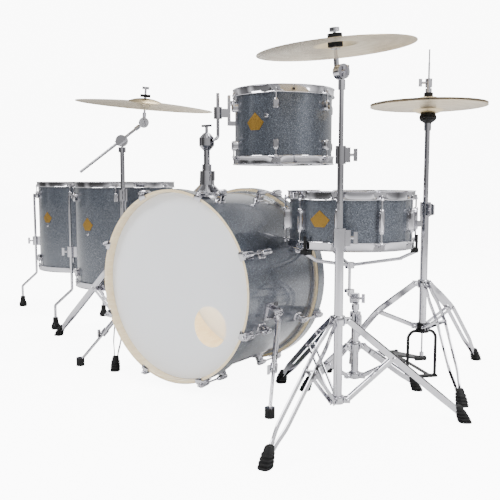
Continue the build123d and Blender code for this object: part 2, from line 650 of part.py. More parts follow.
def cymbal_rod(base, normal, cup_at, top_at):
    """Rod that holds a cymbal: holder, rod, washer under the lower felt, sleeve, and top nut."""
    rest = cup_at - FELT_DEPTH - ROCK_GAP
    return join(bar(base - normal * 6, base + normal * 36, 7), bar(base, base + normal * top_at, 4),
                bar(base + normal * (rest - 4), base + normal * rest, 12),
                bar(base + normal * (cup_at - 4), base + normal * (cup_at + 7), 5),
                bar(base + normal * (top_at - 9), base + normal * top_at, 13))


def felts(base, normal, cup_at, top_at, thick):
    """Felt rings below and above a cymbal, loose on the rod so that they rock with it."""
    upper = cup_at + thick + BELL_GAP
    ceiling = min(top_at - 9 - ROCK_GAP, upper + 10)
    return [bar(base + normal * (cup_at - FELT_DEPTH), base + normal * (cup_at - 1.8), FELT_R, FELT_BORE),
            bar(base + normal * upper, base + normal * ceiling, FELT_R, FELT_BORE)]


FELT_R, FELT_BORE = 19.0, 7.0
FELT_DEPTH = 16.2                  # underside of the lower felt below the cymbal's cup
BELL_GAP = 4.0                     # upper felt above the bell's rim at the hole
ROCK_GAP = 2.1                     # room for a felt to rock without touching a washer or nut

TUBE_R, MID_R, TOP_R = 12.0, 8.5, 6.25

# ---------------------------------------------------------------- crash stand
CRASH_COLLAR_Z, CRASH_HUB_Z = 268.0, 55.0
CRASH_PIVOT_Z = 908.0
ROD_OFFSET = 19.0                  # cymbal rod behind the middle of its tilter
CRASH_CUP = 80.5                   # cymbal's cup along the rod, from the tilter's pivot
CRASH_ROD_TOP = 111.0
CRASH_CYMBAL_T = 1.6
save("crash_legs", *tripod(CRASH_POST, CRASH_FEET, TUBE_R, CRASH_COLLAR_Z, CRASH_HUB_Z, 0.41))
save("crash_tube_lower", lower_tube(CRASH_POST, 44, 461, 511, TUBE_R, MID_R, 30))
save("crash_tube_middle", lower_tube(CRASH_POST, 330, 676, 722, MID_R, TOP_R, 30))

lean = heading(CRASH_TILT_SIDE)
crash_normal = (UP * cos(radians(CRASH_TILT)) + lean * sin(radians(CRASH_TILT))).normalized()
crash_axis = UP.cross(lean)
crash_pivot = Vector(*kit(*CRASH_POST, CRASH_PIVOT_Z))
save("crash_tube_upper", join(post_tube(CRASH_POST, 560, 872, TOP_R), post_tube(CRASH_POST, 863, 887, 9.3),
                              tilter_neck(crash_pivot, crash_axis, 24),
                              ratchet_half(crash_pivot, crash_axis, -1, 9),
                              wing_bolt(crash_pivot + crash_axis * 8, crash_axis, 8, 26)))
crash_base = crash_pivot - crash_axis * ROD_OFFSET
save("crash_tilter", join(ratchet_half(crash_pivot, crash_axis, -1 - FREE_GAP, -14),
                          cymbal_rod(crash_base, crash_normal, CRASH_CUP, CRASH_ROD_TOP)))
save("crash_felts", *felts(crash_base, crash_normal, CRASH_CUP, CRASH_ROD_TOP, CRASH_CYMBAL_T))
crash_seat = Plane(origin=crash_base + crash_normal * CRASH_CUP, x_dir=crash_axis, z_dir=crash_normal)
save("crash_cymbal", cymbal(crash_seat, CRASH_R, 58, 12, 11, 6.0, CRASH_CYMBAL_T))

# ---------------------------------------------------------------- ride stand
RIDE_COLLAR_Z, RIDE_HUB_Z = 344.0, 96.0
RIDE_CUP = 87.0
RIDE_ROD_TOP = 131.0
RIDE_CYMBAL_T = 1.9
BOOM_R = 5.5
save("ride_legs", *tripod(RIDE_POST, RIDE_FEET, TUBE_R, RIDE_COLLAR_Z, RIDE_HUB_Z, 0.41))
save("ride_tube_lower", lower_tube(RIDE_POST, 84, 556, 604, TUBE_R, MID_R, -50))

boom_level = heading(BOOM_SIDE)
boom_way = (boom_level * cos(radians(BOOM_RISE)) + UP * sin(radians(BOOM_RISE))).normalized()
boom_front = heading(BOOM_SIDE - 90)
boom_pivot = Vector(*kit(*RIDE_POST, BOOM_Z))
boom_cross = boom_pivot + boom_front * BOOM_OFFSET
save("ride_tube_upper", join(post_tube(RIDE_POST, 430, 755, MID_R), post_tube(RIDE_POST, 742, 761, 14),
                             tilter_neck(boom_pivot, boom_front * -1, 27),
                             ratchet_half(boom_pivot, boom_front, -9, 1, 22),
                             wing_bolt(boom_pivot - boom_front * 8, boom_front * -1, 10, 34)))
jaw = Plane(origin=boom_cross - boom_way * 20, x_dir=boom_front, z_dir=boom_way)
boom_clamp = join(ratchet_half(boom_pivot, boom_front, 1 + FREE_GAP, 14, 22), block(jaw, 22, 20, 40))
save("ride_boom_clamp", less(boom_clamp, bar(boom_cross - boom_way * 30, boom_cross + boom_way * 30,
                                             BOOM_R + SLIDE_GAP)))

lean = heading(RIDE_TILT_SIDE)
ride_normal = (UP * cos(radians(RIDE_TILT)) + lean * sin(radians(RIDE_TILT))).normalized()
ride_axis = boom_way.cross(ride_normal).normalized()
boom_tip = boom_cross + boom_way * (BOOM_FRONT - 20)
ride_pivot = boom_cross + boom_way * BOOM_FRONT - ride_axis * 4.5
save("ride_boom", join(bar(boom_cross - boom_way * BOOM_BACK, boom_tip, BOOM_R),
                       bar(boom_tip - boom_way * 20, boom_tip, 8),
                       bar(boom_tip - boom_way, boom_tip + boom_way * 20, 4.3),
                       ratchet_half(ride_pivot, ride_axis, -1, 9),
                       wing_bolt(ride_pivot + ride_axis * 8, ride_axis, 8, 26)))
ride_base = ride_pivot - ride_axis * ROD_OFFSET
save("ride_tilter", join(ratchet_half(ride_pivot, ride_axis, -1 - FREE_GAP, -14),
                         cymbal_rod(ride_base, ride_normal, RIDE_CUP, RIDE_ROD_TOP)))
save("ride_felts", *felts(ride_base, ride_normal, RIDE_CUP, RIDE_ROD_TOP, RIDE_CYMBAL_T))
ride_seat = Plane(origin=ride_base + ride_normal * RIDE_CUP, x_dir=boom_front, z_dir=ride_normal)
save("ride_cymbal", cymbal(ride_seat, RIDE_R, 66, 14, 13, 6.0, RIDE_CYMBAL_T))

# ---------------------------------------------------------------- snare stand
SNARE_COLLAR_Z, SNARE_HUB_Z = 124.0, 30.0
BASKET_HUB_Z = 386.0
BASKET_PIVOT_Z = 273.0
save("snare_stand_legs", *tripod(SNARE_POST, SNARE_FEET, TUBE_R, SNARE_COLLAR_Z, SNARE_HUB_Z, 0.53, 0.0, 24.0))
save("snare_stand_tube", lower_tube(SNARE_POST, 40, 190, 230, TUBE_R, MID_R, -40))

to_snare = Vector(SNARE_MIDDLE[0] - SNARE_POST[0], SNARE_MIDDLE[1] - SNARE_POST[1], 0)
basket_way = to_snare.normalized()
basket_axis = Vector(-basket_way.Y, basket_way.X, 0)
basket_pivot = Vector(*kit(*SNARE_POST, BASKET_PIVOT_Z))
save("snare_stand_upper", join(post_tube(SNARE_POST, 120, 250, MID_R),
                               post_tube(SNARE_POST, 236, 254, 12),
                               tilter_neck(basket_pivot, basket_axis, 22),
                               ratchet_half(basket_pivot, basket_axis, -1, 10, 17),
                               wing_bolt(basket_pivot + basket_axis * 9, basket_axis, 10, 28)))
basket_top = Vector(*kit(*SNARE_MIDDLE, BASKET_HUB_Z))
screw_foot = Vector(*kit(SNARE_MIDDLE[0], SNARE_MIDDLE[1], 300))
elbow = basket_pivot - basket_axis * 10
basket = [ratchet_half(basket_pivot, basket_axis, -1 - FREE_GAP, -16, 17),
          bar(elbow, screw_foot, 7), bar(screw_foot - UP * 6, basket_top, 4.5),
          bar(screw_foot + UP * 6, screw_foot + UP * 14, 15), bar(basket_top - UP * 9, basket_top + UP * 9, 14)]
GRIP_R = SNARE_SHELL_R + HOOP_FLARE + 4.5
GRIP_ANGLE = 17.5                  # between the lugs all the way round
for k in range(3):
    angle = GRIP_ANGLE + 120 * k
    out = heading(angle)
    hip = basket_top + out * 150 + UP * 26
    wrist = Vector(*polar(SNARE_MIDDLE, GRIP_R, angle, SNARE_BOTTOM - 9))
    tip = Vector(*polar(SNARE_MIDDLE, GRIP_R, angle, SNARE_BOTTOM + 38))
    basket += [bar(basket_top, hip, 5), bar(hip - out * 4, wrist, 5), bar(wrist - UP * 5, tip, 4.2)]
    pad = Plane(origin=Vector(*polar(SNARE_MIDDLE, GRIP_R - 5, angle, SNARE_BOTTOM - 12)),
                x_dir=heading(angle + 90), z_dir=(0, 0, 1))
    basket.append(block(pad, 26, 20, 11.7))
save("snare_basket", join(*basket))

# ---------------------------------------------------------------- hi-hat
HAT_COLLAR_Z, HAT_HUB_Z = 307.0, 170.0
HAT_TUBE_R, HAT_UPPER_R, PULL_R = 12.0, 8.0, 3.0
PULL_TIP_R, PULL_TIP_Z, PULL_TOP_Z = 2.4, 997.0, 1037.0
HAT_SEAT_Z = 839.5
HAT_T = 1.2
HAT_BELL_R, HAT_BELL_H, HAT_BOW = 50.0, 13.0, 10.5
FRAME_HALF = 48.0                  # half the width of the hi-hat's bent frame
hat_side = heading(HAT_PEDAL_SIDE - 90)
hat_back = heading(HAT_PEDAL_SIDE)
hat_foot = Vector(*kit(*HAT_POST))
save("hat_legs", *tripod(HAT_POST, HAT_FEET, HAT_TUBE_R, HAT_COLLAR_Z, HAT_HUB_Z, 0.45, 30.0))

frame = bent_rod([hat_foot + hat_side * FRAME_HALF + UP * 6, hat_foot + hat_side * FRAME_HALF + UP * 154,
                  hat_foot - hat_side * FRAME_HALF + UP * 154, hat_foot - hat_side * FRAME_HALF + UP * 6], 5, 26)
hat_tube = less(join(post_tube(HAT_POST, 150, 530, HAT_TUBE_R), clamp(HAT_POST, 522, 567, HAT_TUBE_R, -35),
                     post_tube(HAT_POST, 150, 159, 21), post_tube(HAT_POST, 545, 792, HAT_UPPER_R), frame,
                     turned(HAT_POST, [(0, 790), (11, 790), (11, 812), (25, 822), (25, 826), (27, 829),
                                       (24, HAT_SEAT_Z), (0, HAT_SEAT_Z)])),
                post_tube(HAT_POST, 140, 780, PULL_R + 2), post_tube(HAT_POST, 775, 845, PULL_R + SLIDE_GAP))
bed_from = Plane(origin=hat_foot + hat_back * 145, x_dir=hat_side, z_dir=UP)
with BuildPart() as bed:
    add(block(bed_from, 84, 300, 4))
    with BuildSketch(bed_from):
        Rectangle(56, 262)
    extrude(amount=4, mode=Mode.SUBTRACT)
    add(block(Plane(origin=hat_foot, x_dir=hat_side, z_dir=UP), 2 * FRAME_HALF + 14, 16, 8))
    add(block(Plane(origin=hat_foot + hat_back * 282, x_dir=hat_side, z_dir=UP), 84, 30, 10))
heel_pin = hat_foot + hat_back * 262 + UP * 16
heel_ears = []
for way in (-1, 1):
    ear_at = Plane(origin=hat_foot + hat_back * 264 + hat_side * (way * 37) + UP * 3, x_dir=hat_side, z_dir=UP)
    heel_ears.append(block(ear_at, 6, 16, 20))
pin = bar(heel_pin - hat_side * 38, heel_pin + hat_side * 38, 3)
save("hat_stand", hat_tube, join(bed.part, *heel_ears, pin))

toe = hat_foot + UP * 62 + hat_back * 6
board_way = (toe - heel_pin)
board_seat = Plane(origin=heel_pin, x_dir=hat_side, z_dir=board_way)
with BuildPart() as pedal:
    with BuildSketch(board_seat):
        Rectangle(66, 6)
    with BuildSketch(board_seat.offset(board_way.length)):
        Rectangle(40, 6)
    loft()
    add(bar(heel_pin - hat_side * 33, heel_pin + hat_side * 33, 7))
    add(bar(toe - hat_side * 18, toe + hat_side * 18, 8))
    add(bar(heel_pin - hat_side * 50, heel_pin + hat_side * 50, 3 + SLIDE_GAP), mode=Mode.SUBTRACT)
save("hat_pedal", pedal.part)

clutch_z = HAT_RIM_Z + HAT_GAP + HAT_BELL_H + HAT_BOW
clutch_top = clutch_z + HAT_T + 54
hat_rod = join(post_tube(HAT_POST, 72, PULL_TIP_Z, PULL_R),
               post_tube(HAT_POST, PULL_TIP_Z, PULL_TOP_Z, PULL_TIP_R), post_tube(HAT_POST, 72, 84, 7),
               post_tube(HAT_POST, clutch_z - 16, clutch_top, 6),
               post_tube(HAT_POST, clutch_z - 14, clutch_z - 6, 12),
               post_tube(HAT_POST, clutch_z - 6.3, clutch_z - 1.6, 14),
               post_tube(HAT_POST, clutch_z + HAT_T + 0.3, clutch_z + HAT_T + 11, 14),
               post_tube(HAT_POST, clutch_z + HAT_T + 11, clutch_z + HAT_T + 24, 10),
               post_tube(HAT_POST, clutch_top - 26, clutch_top, 10.5),
               wing_bolt(polar(HAT_POST, 9, 216, clutch_top - 12), heading(216), 12, 24))
save("hat_rod", hat_rod)
up_seat = Plane(origin=kit(*HAT_POST, clutch_z), x_dir=(1, 0, 0), z_dir=(0, 0, 1))
save("hat_top_cymbal", cymbal(up_seat, HAT_R, HAT_BELL_R, HAT_BELL_H, HAT_BOW, 6.3, HAT_T))
low_cup_z = HAT_RIM_Z - HAT_BELL_H - HAT_BOW
down_seat = Plane(origin=kit(*HAT_POST, low_cup_z), x_dir=(1, 0, 0), z_dir=(0, 0, -1))
save("hat_bottom_cymbal", cymbal(down_seat, HAT_R, HAT_BELL_R, HAT_BELL_H, HAT_BOW, 8.0, HAT_T))
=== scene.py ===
# %% [markdown]
# # An acoustic drum kit
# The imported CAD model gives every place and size, in metres. This lesson adds the looks:
# lacquer, chrome, drumheads, bronze, and the small fittings that make a kit read as real.

import json
from math import cos, degrees, pi, radians, sin

import bmesh
import bpy
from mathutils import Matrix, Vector


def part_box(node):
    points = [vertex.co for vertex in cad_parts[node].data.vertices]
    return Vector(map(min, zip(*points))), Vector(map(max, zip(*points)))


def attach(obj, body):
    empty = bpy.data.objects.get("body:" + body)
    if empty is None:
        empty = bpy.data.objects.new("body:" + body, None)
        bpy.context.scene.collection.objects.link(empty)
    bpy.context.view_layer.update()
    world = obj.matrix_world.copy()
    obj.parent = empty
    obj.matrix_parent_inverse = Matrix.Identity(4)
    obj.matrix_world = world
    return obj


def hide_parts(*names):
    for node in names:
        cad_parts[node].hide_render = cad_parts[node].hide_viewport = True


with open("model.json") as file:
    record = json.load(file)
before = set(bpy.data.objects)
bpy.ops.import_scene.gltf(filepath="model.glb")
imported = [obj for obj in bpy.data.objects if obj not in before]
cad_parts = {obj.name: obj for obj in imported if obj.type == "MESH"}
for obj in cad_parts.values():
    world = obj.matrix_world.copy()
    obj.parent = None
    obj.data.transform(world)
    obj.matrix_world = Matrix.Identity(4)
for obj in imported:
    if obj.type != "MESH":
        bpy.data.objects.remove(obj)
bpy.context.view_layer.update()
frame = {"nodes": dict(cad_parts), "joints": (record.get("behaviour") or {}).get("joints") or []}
joints = {joint["name"]: joint for joint in frame["joints"]}
nodes = frame["nodes"]

# %% [markdown]
# ## Places
# Drums are centred on their shells' boxes. Posts stand where their joints turn or slide, and a
# cymbal's own axis is that of the joint it spins on. Feet are set out from the bass drum.

# %% Places taken from the frame
UP = Vector((0, 0, 1))


def box_middle(node):
    low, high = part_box(node)
    return (low + high) / 2


def joint_at(name):
    """Where a joint turns, and its axis."""
    joint = joints[name]
    return Vector(joint["pos_m"]), Vector(joint["axis"]).normalized()


bass_middle = box_middle("bass_shell")
BASS_R = (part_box("bass_shell")[1].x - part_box("bass_shell")[0].x) / 2


def kit(x, y, z=0.0):
    """A point on the floor plan in millimetres from the bass drum's middle, as metres in the frame."""
    return Vector((bass_middle.x + x / 1000, bass_middle.y + y / 1000, z / 1000))


def heading(angle):
    return Vector((cos(radians(angle)), sin(radians(angle)), 0))


CRASH_POST = joint_at("crash_tilt")[0]
RIDE_POST = joint_at("ride_boom_tilt")[0]
SNARE_POST = joint_at("snare_basket_tilt")[0]
HAT_POST = Vector((box_middle("hat_top_cymbal").x, box_middle("hat_top_cymbal").y, 0))
for post in (CRASH_POST, RIDE_POST, SNARE_POST):
    post.z = 0
TOM_R, SNARE_R, FLOOR_R = 0.1524, 0.1778, 0.2032
tom_middle = box_middle("tom_shell")
snare_middle = box_middle("snare_shell")
floor_low, floor_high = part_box("floor_shells")
floor_mid_z = (floor_low.z + floor_high.z) / 2
FLOOR_TOMS = [Vector((floor_high.x - FLOOR_R, floor_low.y + FLOOR_R, floor_mid_z)),
              Vector((floor_low.x + FLOOR_R, floor_high.y - FLOOR_R, floor_mid_z))]
print("bass drum radius", round(BASS_R, 4), "crash post", tuple(round(c, 3) for c in CRASH_POST))

# %% [markdown]
# ## Camera, floor and light
# A kit is photographed from the audience's right, a little above the bass drum, with a lens just
# short of 50 mm. The floor is a large pale sheet, and big soft lights give the chrome long
# white streaks next to darker room tones, which is what makes plating look like plating.

# %% Camera
CAMERA_YAW, CAMERA_DOWN = 36.3, 5.88
camera_data = bpy.data.cameras.new("camera")
camera_data.lens = 47.52
camera_data.sensor_width = 36.0
camera_data.clip_end = 60.0
camera = bpy.data.objects.new("camera", camera_data)
camera.location = kit(1360.3, -1653.4, 630.0)
camera.rotation_euler = (radians(90 - CAMERA_DOWN), 0, radians(CAMERA_YAW))
bpy.context.scene.collection.objects.link(camera)
bpy.context.scene.camera = camera


# %% Helpers for materials
def linear(hex_colour):
    """sRGB hex to the linear colour that shaders use."""
    channels = [int(hex_colour[i:i + 2], 16) / 255 for i in (1, 3, 5)]
    return tuple(c / 12.92 if c <= 0.04045 else ((c + 0.055) / 1.055) ** 2.4 for c in channels) + (1.0,)


def put(tree, kind, inputs=None, **settings):
    """Add a node: settings are its own properties, inputs are values or sockets to link."""
    node = tree.nodes.new(kind)
    for name, value in settings.items():
        setattr(node, name, value)
    for name, value in (inputs or {}).items():
        if isinstance(value, bpy.types.NodeSocket):
            tree.links.new(value, node.inputs[name])
        else:
            node.inputs[name].default_value = value
    return node


def new_material(name):
    """A material with a bare Principled shader."""
    material = bpy.data.materials.new(name)
    material.use_nodes = True
    tree = material.node_tree
    return material, tree, tree.nodes["Principled BSDF"]


def object_place(tree):
    return put(tree, "ShaderNodeTexCoord").outputs["Object"]


def noise(tree, place, scale, detail=3.0, roughness=0.5):
    inputs = {"Vector": place, "Scale": scale, "Detail": detail, "Roughness": roughness}
    return put(tree, "ShaderNodeTexNoise", inputs).outputs["Fac"]


def remap(tree, value, low, high, from_low=0.0, from_high=1.0):
    inputs = {"Value": value, "From Min": from_low, "From Max": from_high, "To Min": low, "To Max": high}
    return put(tree, "ShaderNodeMapRange", inputs).outputs["Result"]


def mix_colour(tree, factor, a, b):
    node = put(tree, "ShaderNodeMix", data_type="RGBA")
    for socket, value in ((node.inputs["Factor"], factor), (node.inputs[6], a), (node.inputs[7], b)):
        if isinstance(value, bpy.types.NodeSocket):
            tree.links.new(value, socket)
        else:
            socket.default_value = value
    return node.outputs[2]


def math(tree, operation, a, b=0.0):
    return put(tree, "ShaderNodeMath", {0: a, 1: b}, operation=operation).outputs[0]


def bump(tree, height, strength, distance):
    inputs = {"Height": height, "Strength": strength, "Distance": distance}
    return put(tree, "ShaderNodeBump", inputs).outputs["Normal"]


def link(tree, socket, target):
    tree.links.new(socket, target)


def from_axis(tree, place, centre, axis):
    """Distance of a surface point from a line, for rings turned on a lathe."""
    away = put(tree, "ShaderNodeVectorMath", {0: place, 1: centre}, operation="SUBTRACT").outputs[0]
    along = put(tree, "ShaderNodeVectorMath", {0: away, 1: axis}, operation="DOT_PRODUCT").outputs["Value"]
    shift = put(tree, "ShaderNodeVectorMath", {0: tuple(axis), "Scale": along}, operation="SCALE").outputs[0]
    across = put(tree, "ShaderNodeVectorMath", {0: away, 1: shift}, operation="SUBTRACT").outputs[0]
    return put(tree, "ShaderNodeVectorMath", {0: across}, operation="LENGTH").outputs["Value"]


# %% [markdown]
# ## Finishes
# Chrome plate over steel is almost a mirror: metallic, very smooth, with a faint orange peel
# from the polishing wheel. Only a little unevenness keeps it from looking like a computer's.

# %% Metals
def chrome(name="chrome plate, polished", hex_colour="#bcbbc0", low=0.04, high=0.12):
    material, tree, shader = new_material(name)
    place = object_place(tree)
    shader.inputs["Base Color"].default_value = linear(hex_colour)
    shader.inputs["Metallic"].default_value = 1.0
    link(tree, remap(tree, noise(tree, place, 45.0), low, high), shader.inputs["Roughness"])
    link(tree, bump(tree, noise(tree, place, 90.0, 2.0), 0.08, 0.0006), shader.inputs["Normal"])
    return material


def lathed_bronze(name, centre, axis, radius):
    """Cymbal bronze: hammered, then cut with a lathe in rings. Groove spacing is 1.1 mm on the real
    one and drawn at 4 mm, so that it shows."""
    material, tree, shader = new_material(name)
    place = object_place(tree)
    ring = from_axis(tree, place, centre, axis)
    groove = math(tree, "SINE", math(tree, "MULTIPLY", ring, 2 * pi / 0.004))
    broad = math(tree, "SINE", math(tree, "MULTIPLY", ring, 2 * pi / 0.031))
    cloud = noise(tree, place, 14.0, 4.0)
    tone = mix_colour(tree, remap(tree, broad, 0.2, 0.8, -1.0, 1.0), linear("#c3b292"), linear("#dccfb4"))
    tone = mix_colour(tree, remap(tree, cloud, 0.0, 0.5, 0.35, 0.7), tone, linear("#b49f7c"))
    bell = remap(tree, ring, 0.0, 1.0, radius * 0.22, radius * 0.30)
    link(tree, mix_colour(tree, bell, linear("#cdb98f"), tone), shader.inputs["Base Color"])
    shader.inputs["Metallic"].default_value = 1.0
    link(tree, remap(tree, groove, 0.22, 0.34, -1.0, 1.0), shader.inputs["Roughness"])
    link(tree, bump(tree, math(tree, "ADD", groove, cloud), 0.25, 0.0004), shader.inputs["Normal"])
    return material


def brushed(name, hex_colour, low=0.22, high=0.42, stretch=(1, 1, 14)):
    """Metal brushed one way: noise drawn out along the strokes."""
    material, tree, shader = new_material(name)
    mapping = put(tree, "ShaderNodeMapping", {"Vector": object_place(tree), "Scale": stretch}).outputs[0]
    stroke = noise(tree, mapping, 160.0, 4.0)
    shader.inputs["Metallic"].default_value = 1.0
    shader.inputs["Base Color"].default_value = linear(hex_colour)
    link(tree, remap(tree, stroke, low, high, 0.3, 0.7), shader.inputs["Roughness"])
    link(tree, bump(tree, stroke, 0.2, 0.0003), shader.inputs["Normal"])
    return material


# %% [markdown]
# Lacquer with glitter in it is a dark blue-grey base with flakes in it, and a thick clear coat on top.
# The flakes vary the base tone cell by cell, and the flakes that catch the light are painted into the
# colour as bright specks: painted glints. The flakes are under a millimetre on the real shell and
# drawn at about two, so that they still sparkle when the whole kit is in view.

# %% Lacquered wood
def maple(tree, place):
    """Colour of pale maple ply, with grain drawn out round the shell."""
    mapping = put(tree, "ShaderNodeMapping", {"Vector": place, "Scale": (1, 1, 7)}).outputs[0]
    grain = noise(tree, mapping, 22.0, 6.0, 0.6)
    return mix_colour(tree, remap(tree, grain, 0.0, 1.0, 0.3, 0.7), linear("#ecdcb8"), linear("#dcc49a"))


def sparkle_on_maple(name, centre, axis, skin_r):
    """Glitter lacquer outside skin_r from the drum's axis, and bare maple inside it."""
    material, tree, shader = new_material(name)
    place = object_place(tree)
    cells = put(tree, "ShaderNodeTexVoronoi", {"Vector": place, "Scale": 1 / 0.0019})
    flake = put(tree, "ShaderNodeSeparateColor", {"Color": cells.outputs["Color"]}).outputs[0]
    fine = put(tree, "ShaderNodeTexVoronoi", {"Vector": place, "Scale": 1 / 0.0011})
    glinting_flake = put(tree, "ShaderNodeSeparateColor", {"Color": fine.outputs["Color"]}).outputs[1]
    base = mix_colour(tree, remap(tree, flake, 0.0, 1.0, 0.35, 1.0), linear("#3a3f47"), linear("#545a65"))
    # Painted glints: about one fine flake in seven is given a pale colour, standing in for flakes that catch
    # the light.
    bright = math(tree, "MULTIPLY", remap(tree, glinting_flake, 0.0, 1.0, 0.86, 1.0), 0.55)
    lacquer = mix_colour(tree, bright, base, linear("#aeb3bd"))
    outside = math(tree, "GREATER_THAN", from_axis(tree, place, centre, axis), skin_r)
    link(tree, mix_colour(tree, outside, maple(tree, place), lacquer), shader.inputs["Base Color"])
    link(tree, math(tree, "MULTIPLY", outside, 0.55), shader.inputs["Metallic"])
    link(tree, remap(tree, outside, 0.55, 0.30), shader.inputs["Roughness"])
    link(tree, bump(tree, flake, 0.06, 0.0006), shader.inputs["Normal"])
    shader.inputs["Coat Weight"].default_value = 0.9
    shader.inputs["Coat Roughness"].default_value = 0.05
    return material


# %% Heads, rubber, felt and castings
def coated_film(name="polyester film, sprayed white coat", hex_colour="#eceef1"):
    material, tree, shader = new_material(name)
    place = object_place(tree)
    speck = noise(tree, place, 420.0, 2.0)
    cloud = noise(tree, place, 3.0, 2.0)
    tone = mix_colour(tree, cloud, linear("#e3e5ea"), linear(hex_colour))
    link(tree, tone, shader.inputs["Base Color"])
    link(tree, remap(tree, speck, 0.45, 0.65), shader.inputs["Roughness"])
    link(tree, bump(tree, speck, 0.15, 0.0003), shader.inputs["Normal"])
    return material


def dull_black(name, hex_colour, rough, grain_mm, depth_mm):
    """Black that scatters: moulded rubber, pressed felt or powder coat, by grain and depth."""
    material, tree, shader = new_material(name)
    place = object_place(tree)
    grain = noise(tree, place, 1000 / grain_mm, 4.0, 0.6)
    tone = mix_colour(tree, grain, linear(hex_colour), linear("#1b1b1c"))
    link(tree, tone, shader.inputs["Base Color"])
    link(tree, remap(tree, grain, rough - 0.1, rough + 0.1), shader.inputs["Roughness"])
    link(tree, bump(tree, grain, 0.5, depth_mm / 1000), shader.inputs["Normal"])
    shader.inputs["Specular IOR Level"].default_value = 0.2
    return material


CHROME = chrome()
STEEL = chrome("steel rod, drawn bright", "#b2b2b6", 0.12, 0.22)
GOLD = brushed("brass badge, brushed and lacquered", "#9c7a3c", stretch=(14, 1, 1))
KNURLED = brushed("boom rod, fine knurl", "#a4a4a8", 0.25, 0.45, (1, 1, 1))
FILM = coated_film()
RUBBER = dull_black("rubber, moulded", "#0b0b0c", 0.6, 1.2, 0.25)
FELT = dull_black("felt, pressed wool", "#0e0e0f", 0.95, 0.6, 0.5)
CASTING = dull_black("powder coat on cast iron", "#0a0a0b", 0.42, 0.9, 0.12)
ALUMINIUM = brushed("aluminium flesh hoop", "#c9cacd")

Y_AXIS = Vector((0, 1, 0))
SKIN = 0.003                    # lacquer starts this far inside the outer face
HOOP_SKIN_R = 0.2945            # the bass hoops are bare maple inside this radius
BASS_LACQUER = sparkle_on_maple("glitter lacquer on maple, bass drum", bass_middle, Y_AXIS, BASS_R - SKIN)
HOOP_LACQUER = sparkle_on_maple("glitter lacquer on maple, hoops", bass_middle, Y_AXIS, HOOP_SKIN_R)
TOM_LACQUER = sparkle_on_maple("glitter lacquer on maple, tom", tom_middle, UP, TOM_R - SKIN)
SNARE_LACQUER = sparkle_on_maple("glitter lacquer on maple, snare", snare_middle, UP, SNARE_R - SKIN)


# %% [markdown]
# ## Painting the CAD nodes
# A CAD node is often one casting with a plated and a rubber part. Each face takes the first
# finish whose test its middle passes, so the shape stays untouched.

# %% A helper that paints a node face by face
def paint(node, finish, *regions):
    """Give a node its finish, and other finishes to the faces whose middle passes a test."""
    mesh = nodes[node].data
    mesh.materials.clear()
    mesh.materials.append(finish)
    for material, test in regions:
        mesh.materials.append(material)
    for face in mesh.polygons:
        face.material_index = 0
        for index, (material, test) in enumerate(regions):
            if test(face.center):
                face.material_index = index + 1
                break


def below(z):
    return lambda point: point.z < z


def above(z):
    return lambda point: point.z > z


def near_axis(centre, axis, reach):
    return lambda point: ((point - centre) - axis * (point - centre).dot(axis)).length < reach


def level_reach(centre, point):
    return (Vector((point.x, point.y, 0)) - Vector((centre.x, centre.y, 0))).length


for node in nodes:
    paint(node, CHROME)
paint("bass_shell", BASS_LACQUER)
paint("bass_hoops", HOOP_LACQUER)
paint("tom_shell", TOM_LACQUER)
paint("snare_shell", SNARE_LACQUER)
floor_lacquers = []
for number, middle in enumerate(FLOOR_TOMS):
    lacquer_name = f"glitter lacquer on maple, floor tom {number + 1}"
    floor_lacquers.append(sparkle_on_maple(lacquer_name, middle, UP, FLOOR_R - SKIN))
paint("floor_shells", floor_lacquers[0],
      (floor_lacquers[1], lambda point: level_reach(FLOOR_TOMS[1], point) < 0.3))
for side in ("front", "rear"):
    paint(f"bass_{side}_head", ALUMINIUM, (FILM, near_axis(bass_middle, Y_AXIS, BASS_R - 0.002)))
for node in ("tom_heads", "snare_heads", "floor_heads"):
    paint(node, FILM)
for number in range(1, 7):
    paint(f"floor_leg_{number}", CHROME, (RUBBER, below(0.052)))
for side in ("right", "left"):
    paint(f"spur_{side}", CHROME, (RUBBER, below(0.028)))
crash_seat, crash_normal = joint_at("crash_spin")
ride_seat, ride_normal = joint_at("ride_spin")
paint("crash_cymbal", lathed_bronze("cymbal bronze, lathed, crash", crash_seat, crash_normal, 0.203))
paint("ride_cymbal", lathed_bronze("cymbal bronze, lathed, ride", ride_seat, ride_normal, 0.254))
HAT_BRONZE = lathed_bronze("cymbal bronze, lathed, hi-hat", HAT_POST, UP, 0.178)
paint("hat_top_cymbal", HAT_BRONZE)
paint("hat_bottom_cymbal", HAT_BRONZE)
paint("crash_felts", FELT)
paint("ride_felts", FELT)
paint("snare_wires", STEEL)
paint("hat_pedal", CASTING)
HAT_TOP_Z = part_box("hat_top_cymbal")[1].z
CLUTCH_R = 0.0065


def on_clutch_felt(point):
    return -0.012 < point.z - HAT_TOP_Z < 0.0125 and level_reach(HAT_POST, point) > CLUTCH_R


paint("hat_rod", CHROME, (FELT, on_clutch_felt))
paint("hat_stand", CHROME, (CASTING, below(0.2)), (RUBBER, above(0.81)))
paint("ride_boom", KNURLED)
snare_rim_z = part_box("snare_hoops")[0].z
paint("snare_basket", CHROME, (RUBBER, above(snare_rim_z - 0.0135)))

# %% [markdown]
# ## Shaping pieces in code
# Fittings are turned, swept or lofted: a list of rings of points, joined ring to ring and closed
# at both ends. Everything below is built from these few shapes, in the frame's own metres.

# %% Shapes: vertices and faces
def loft(rings, looped=False):
    """Skin over rings of points. Looped joins the last ring to the first, else both ends are capped."""
    count = len(rings[0])
    points = [point for ring in rings for point in ring]
    faces = []
    steps = len(rings) if looped else len(rings) - 1
    for i in range(steps):
        a, b = i * count, (i + 1) % len(rings) * count
        for j in range(count):
            k = (j + 1) % count
            faces.append((a + j, a + k, b + k, b + j))
    if not looped:
        faces.append(tuple(reversed(range(count))))
        faces.append(tuple(range(len(points) - count, len(points))))
    return points, faces


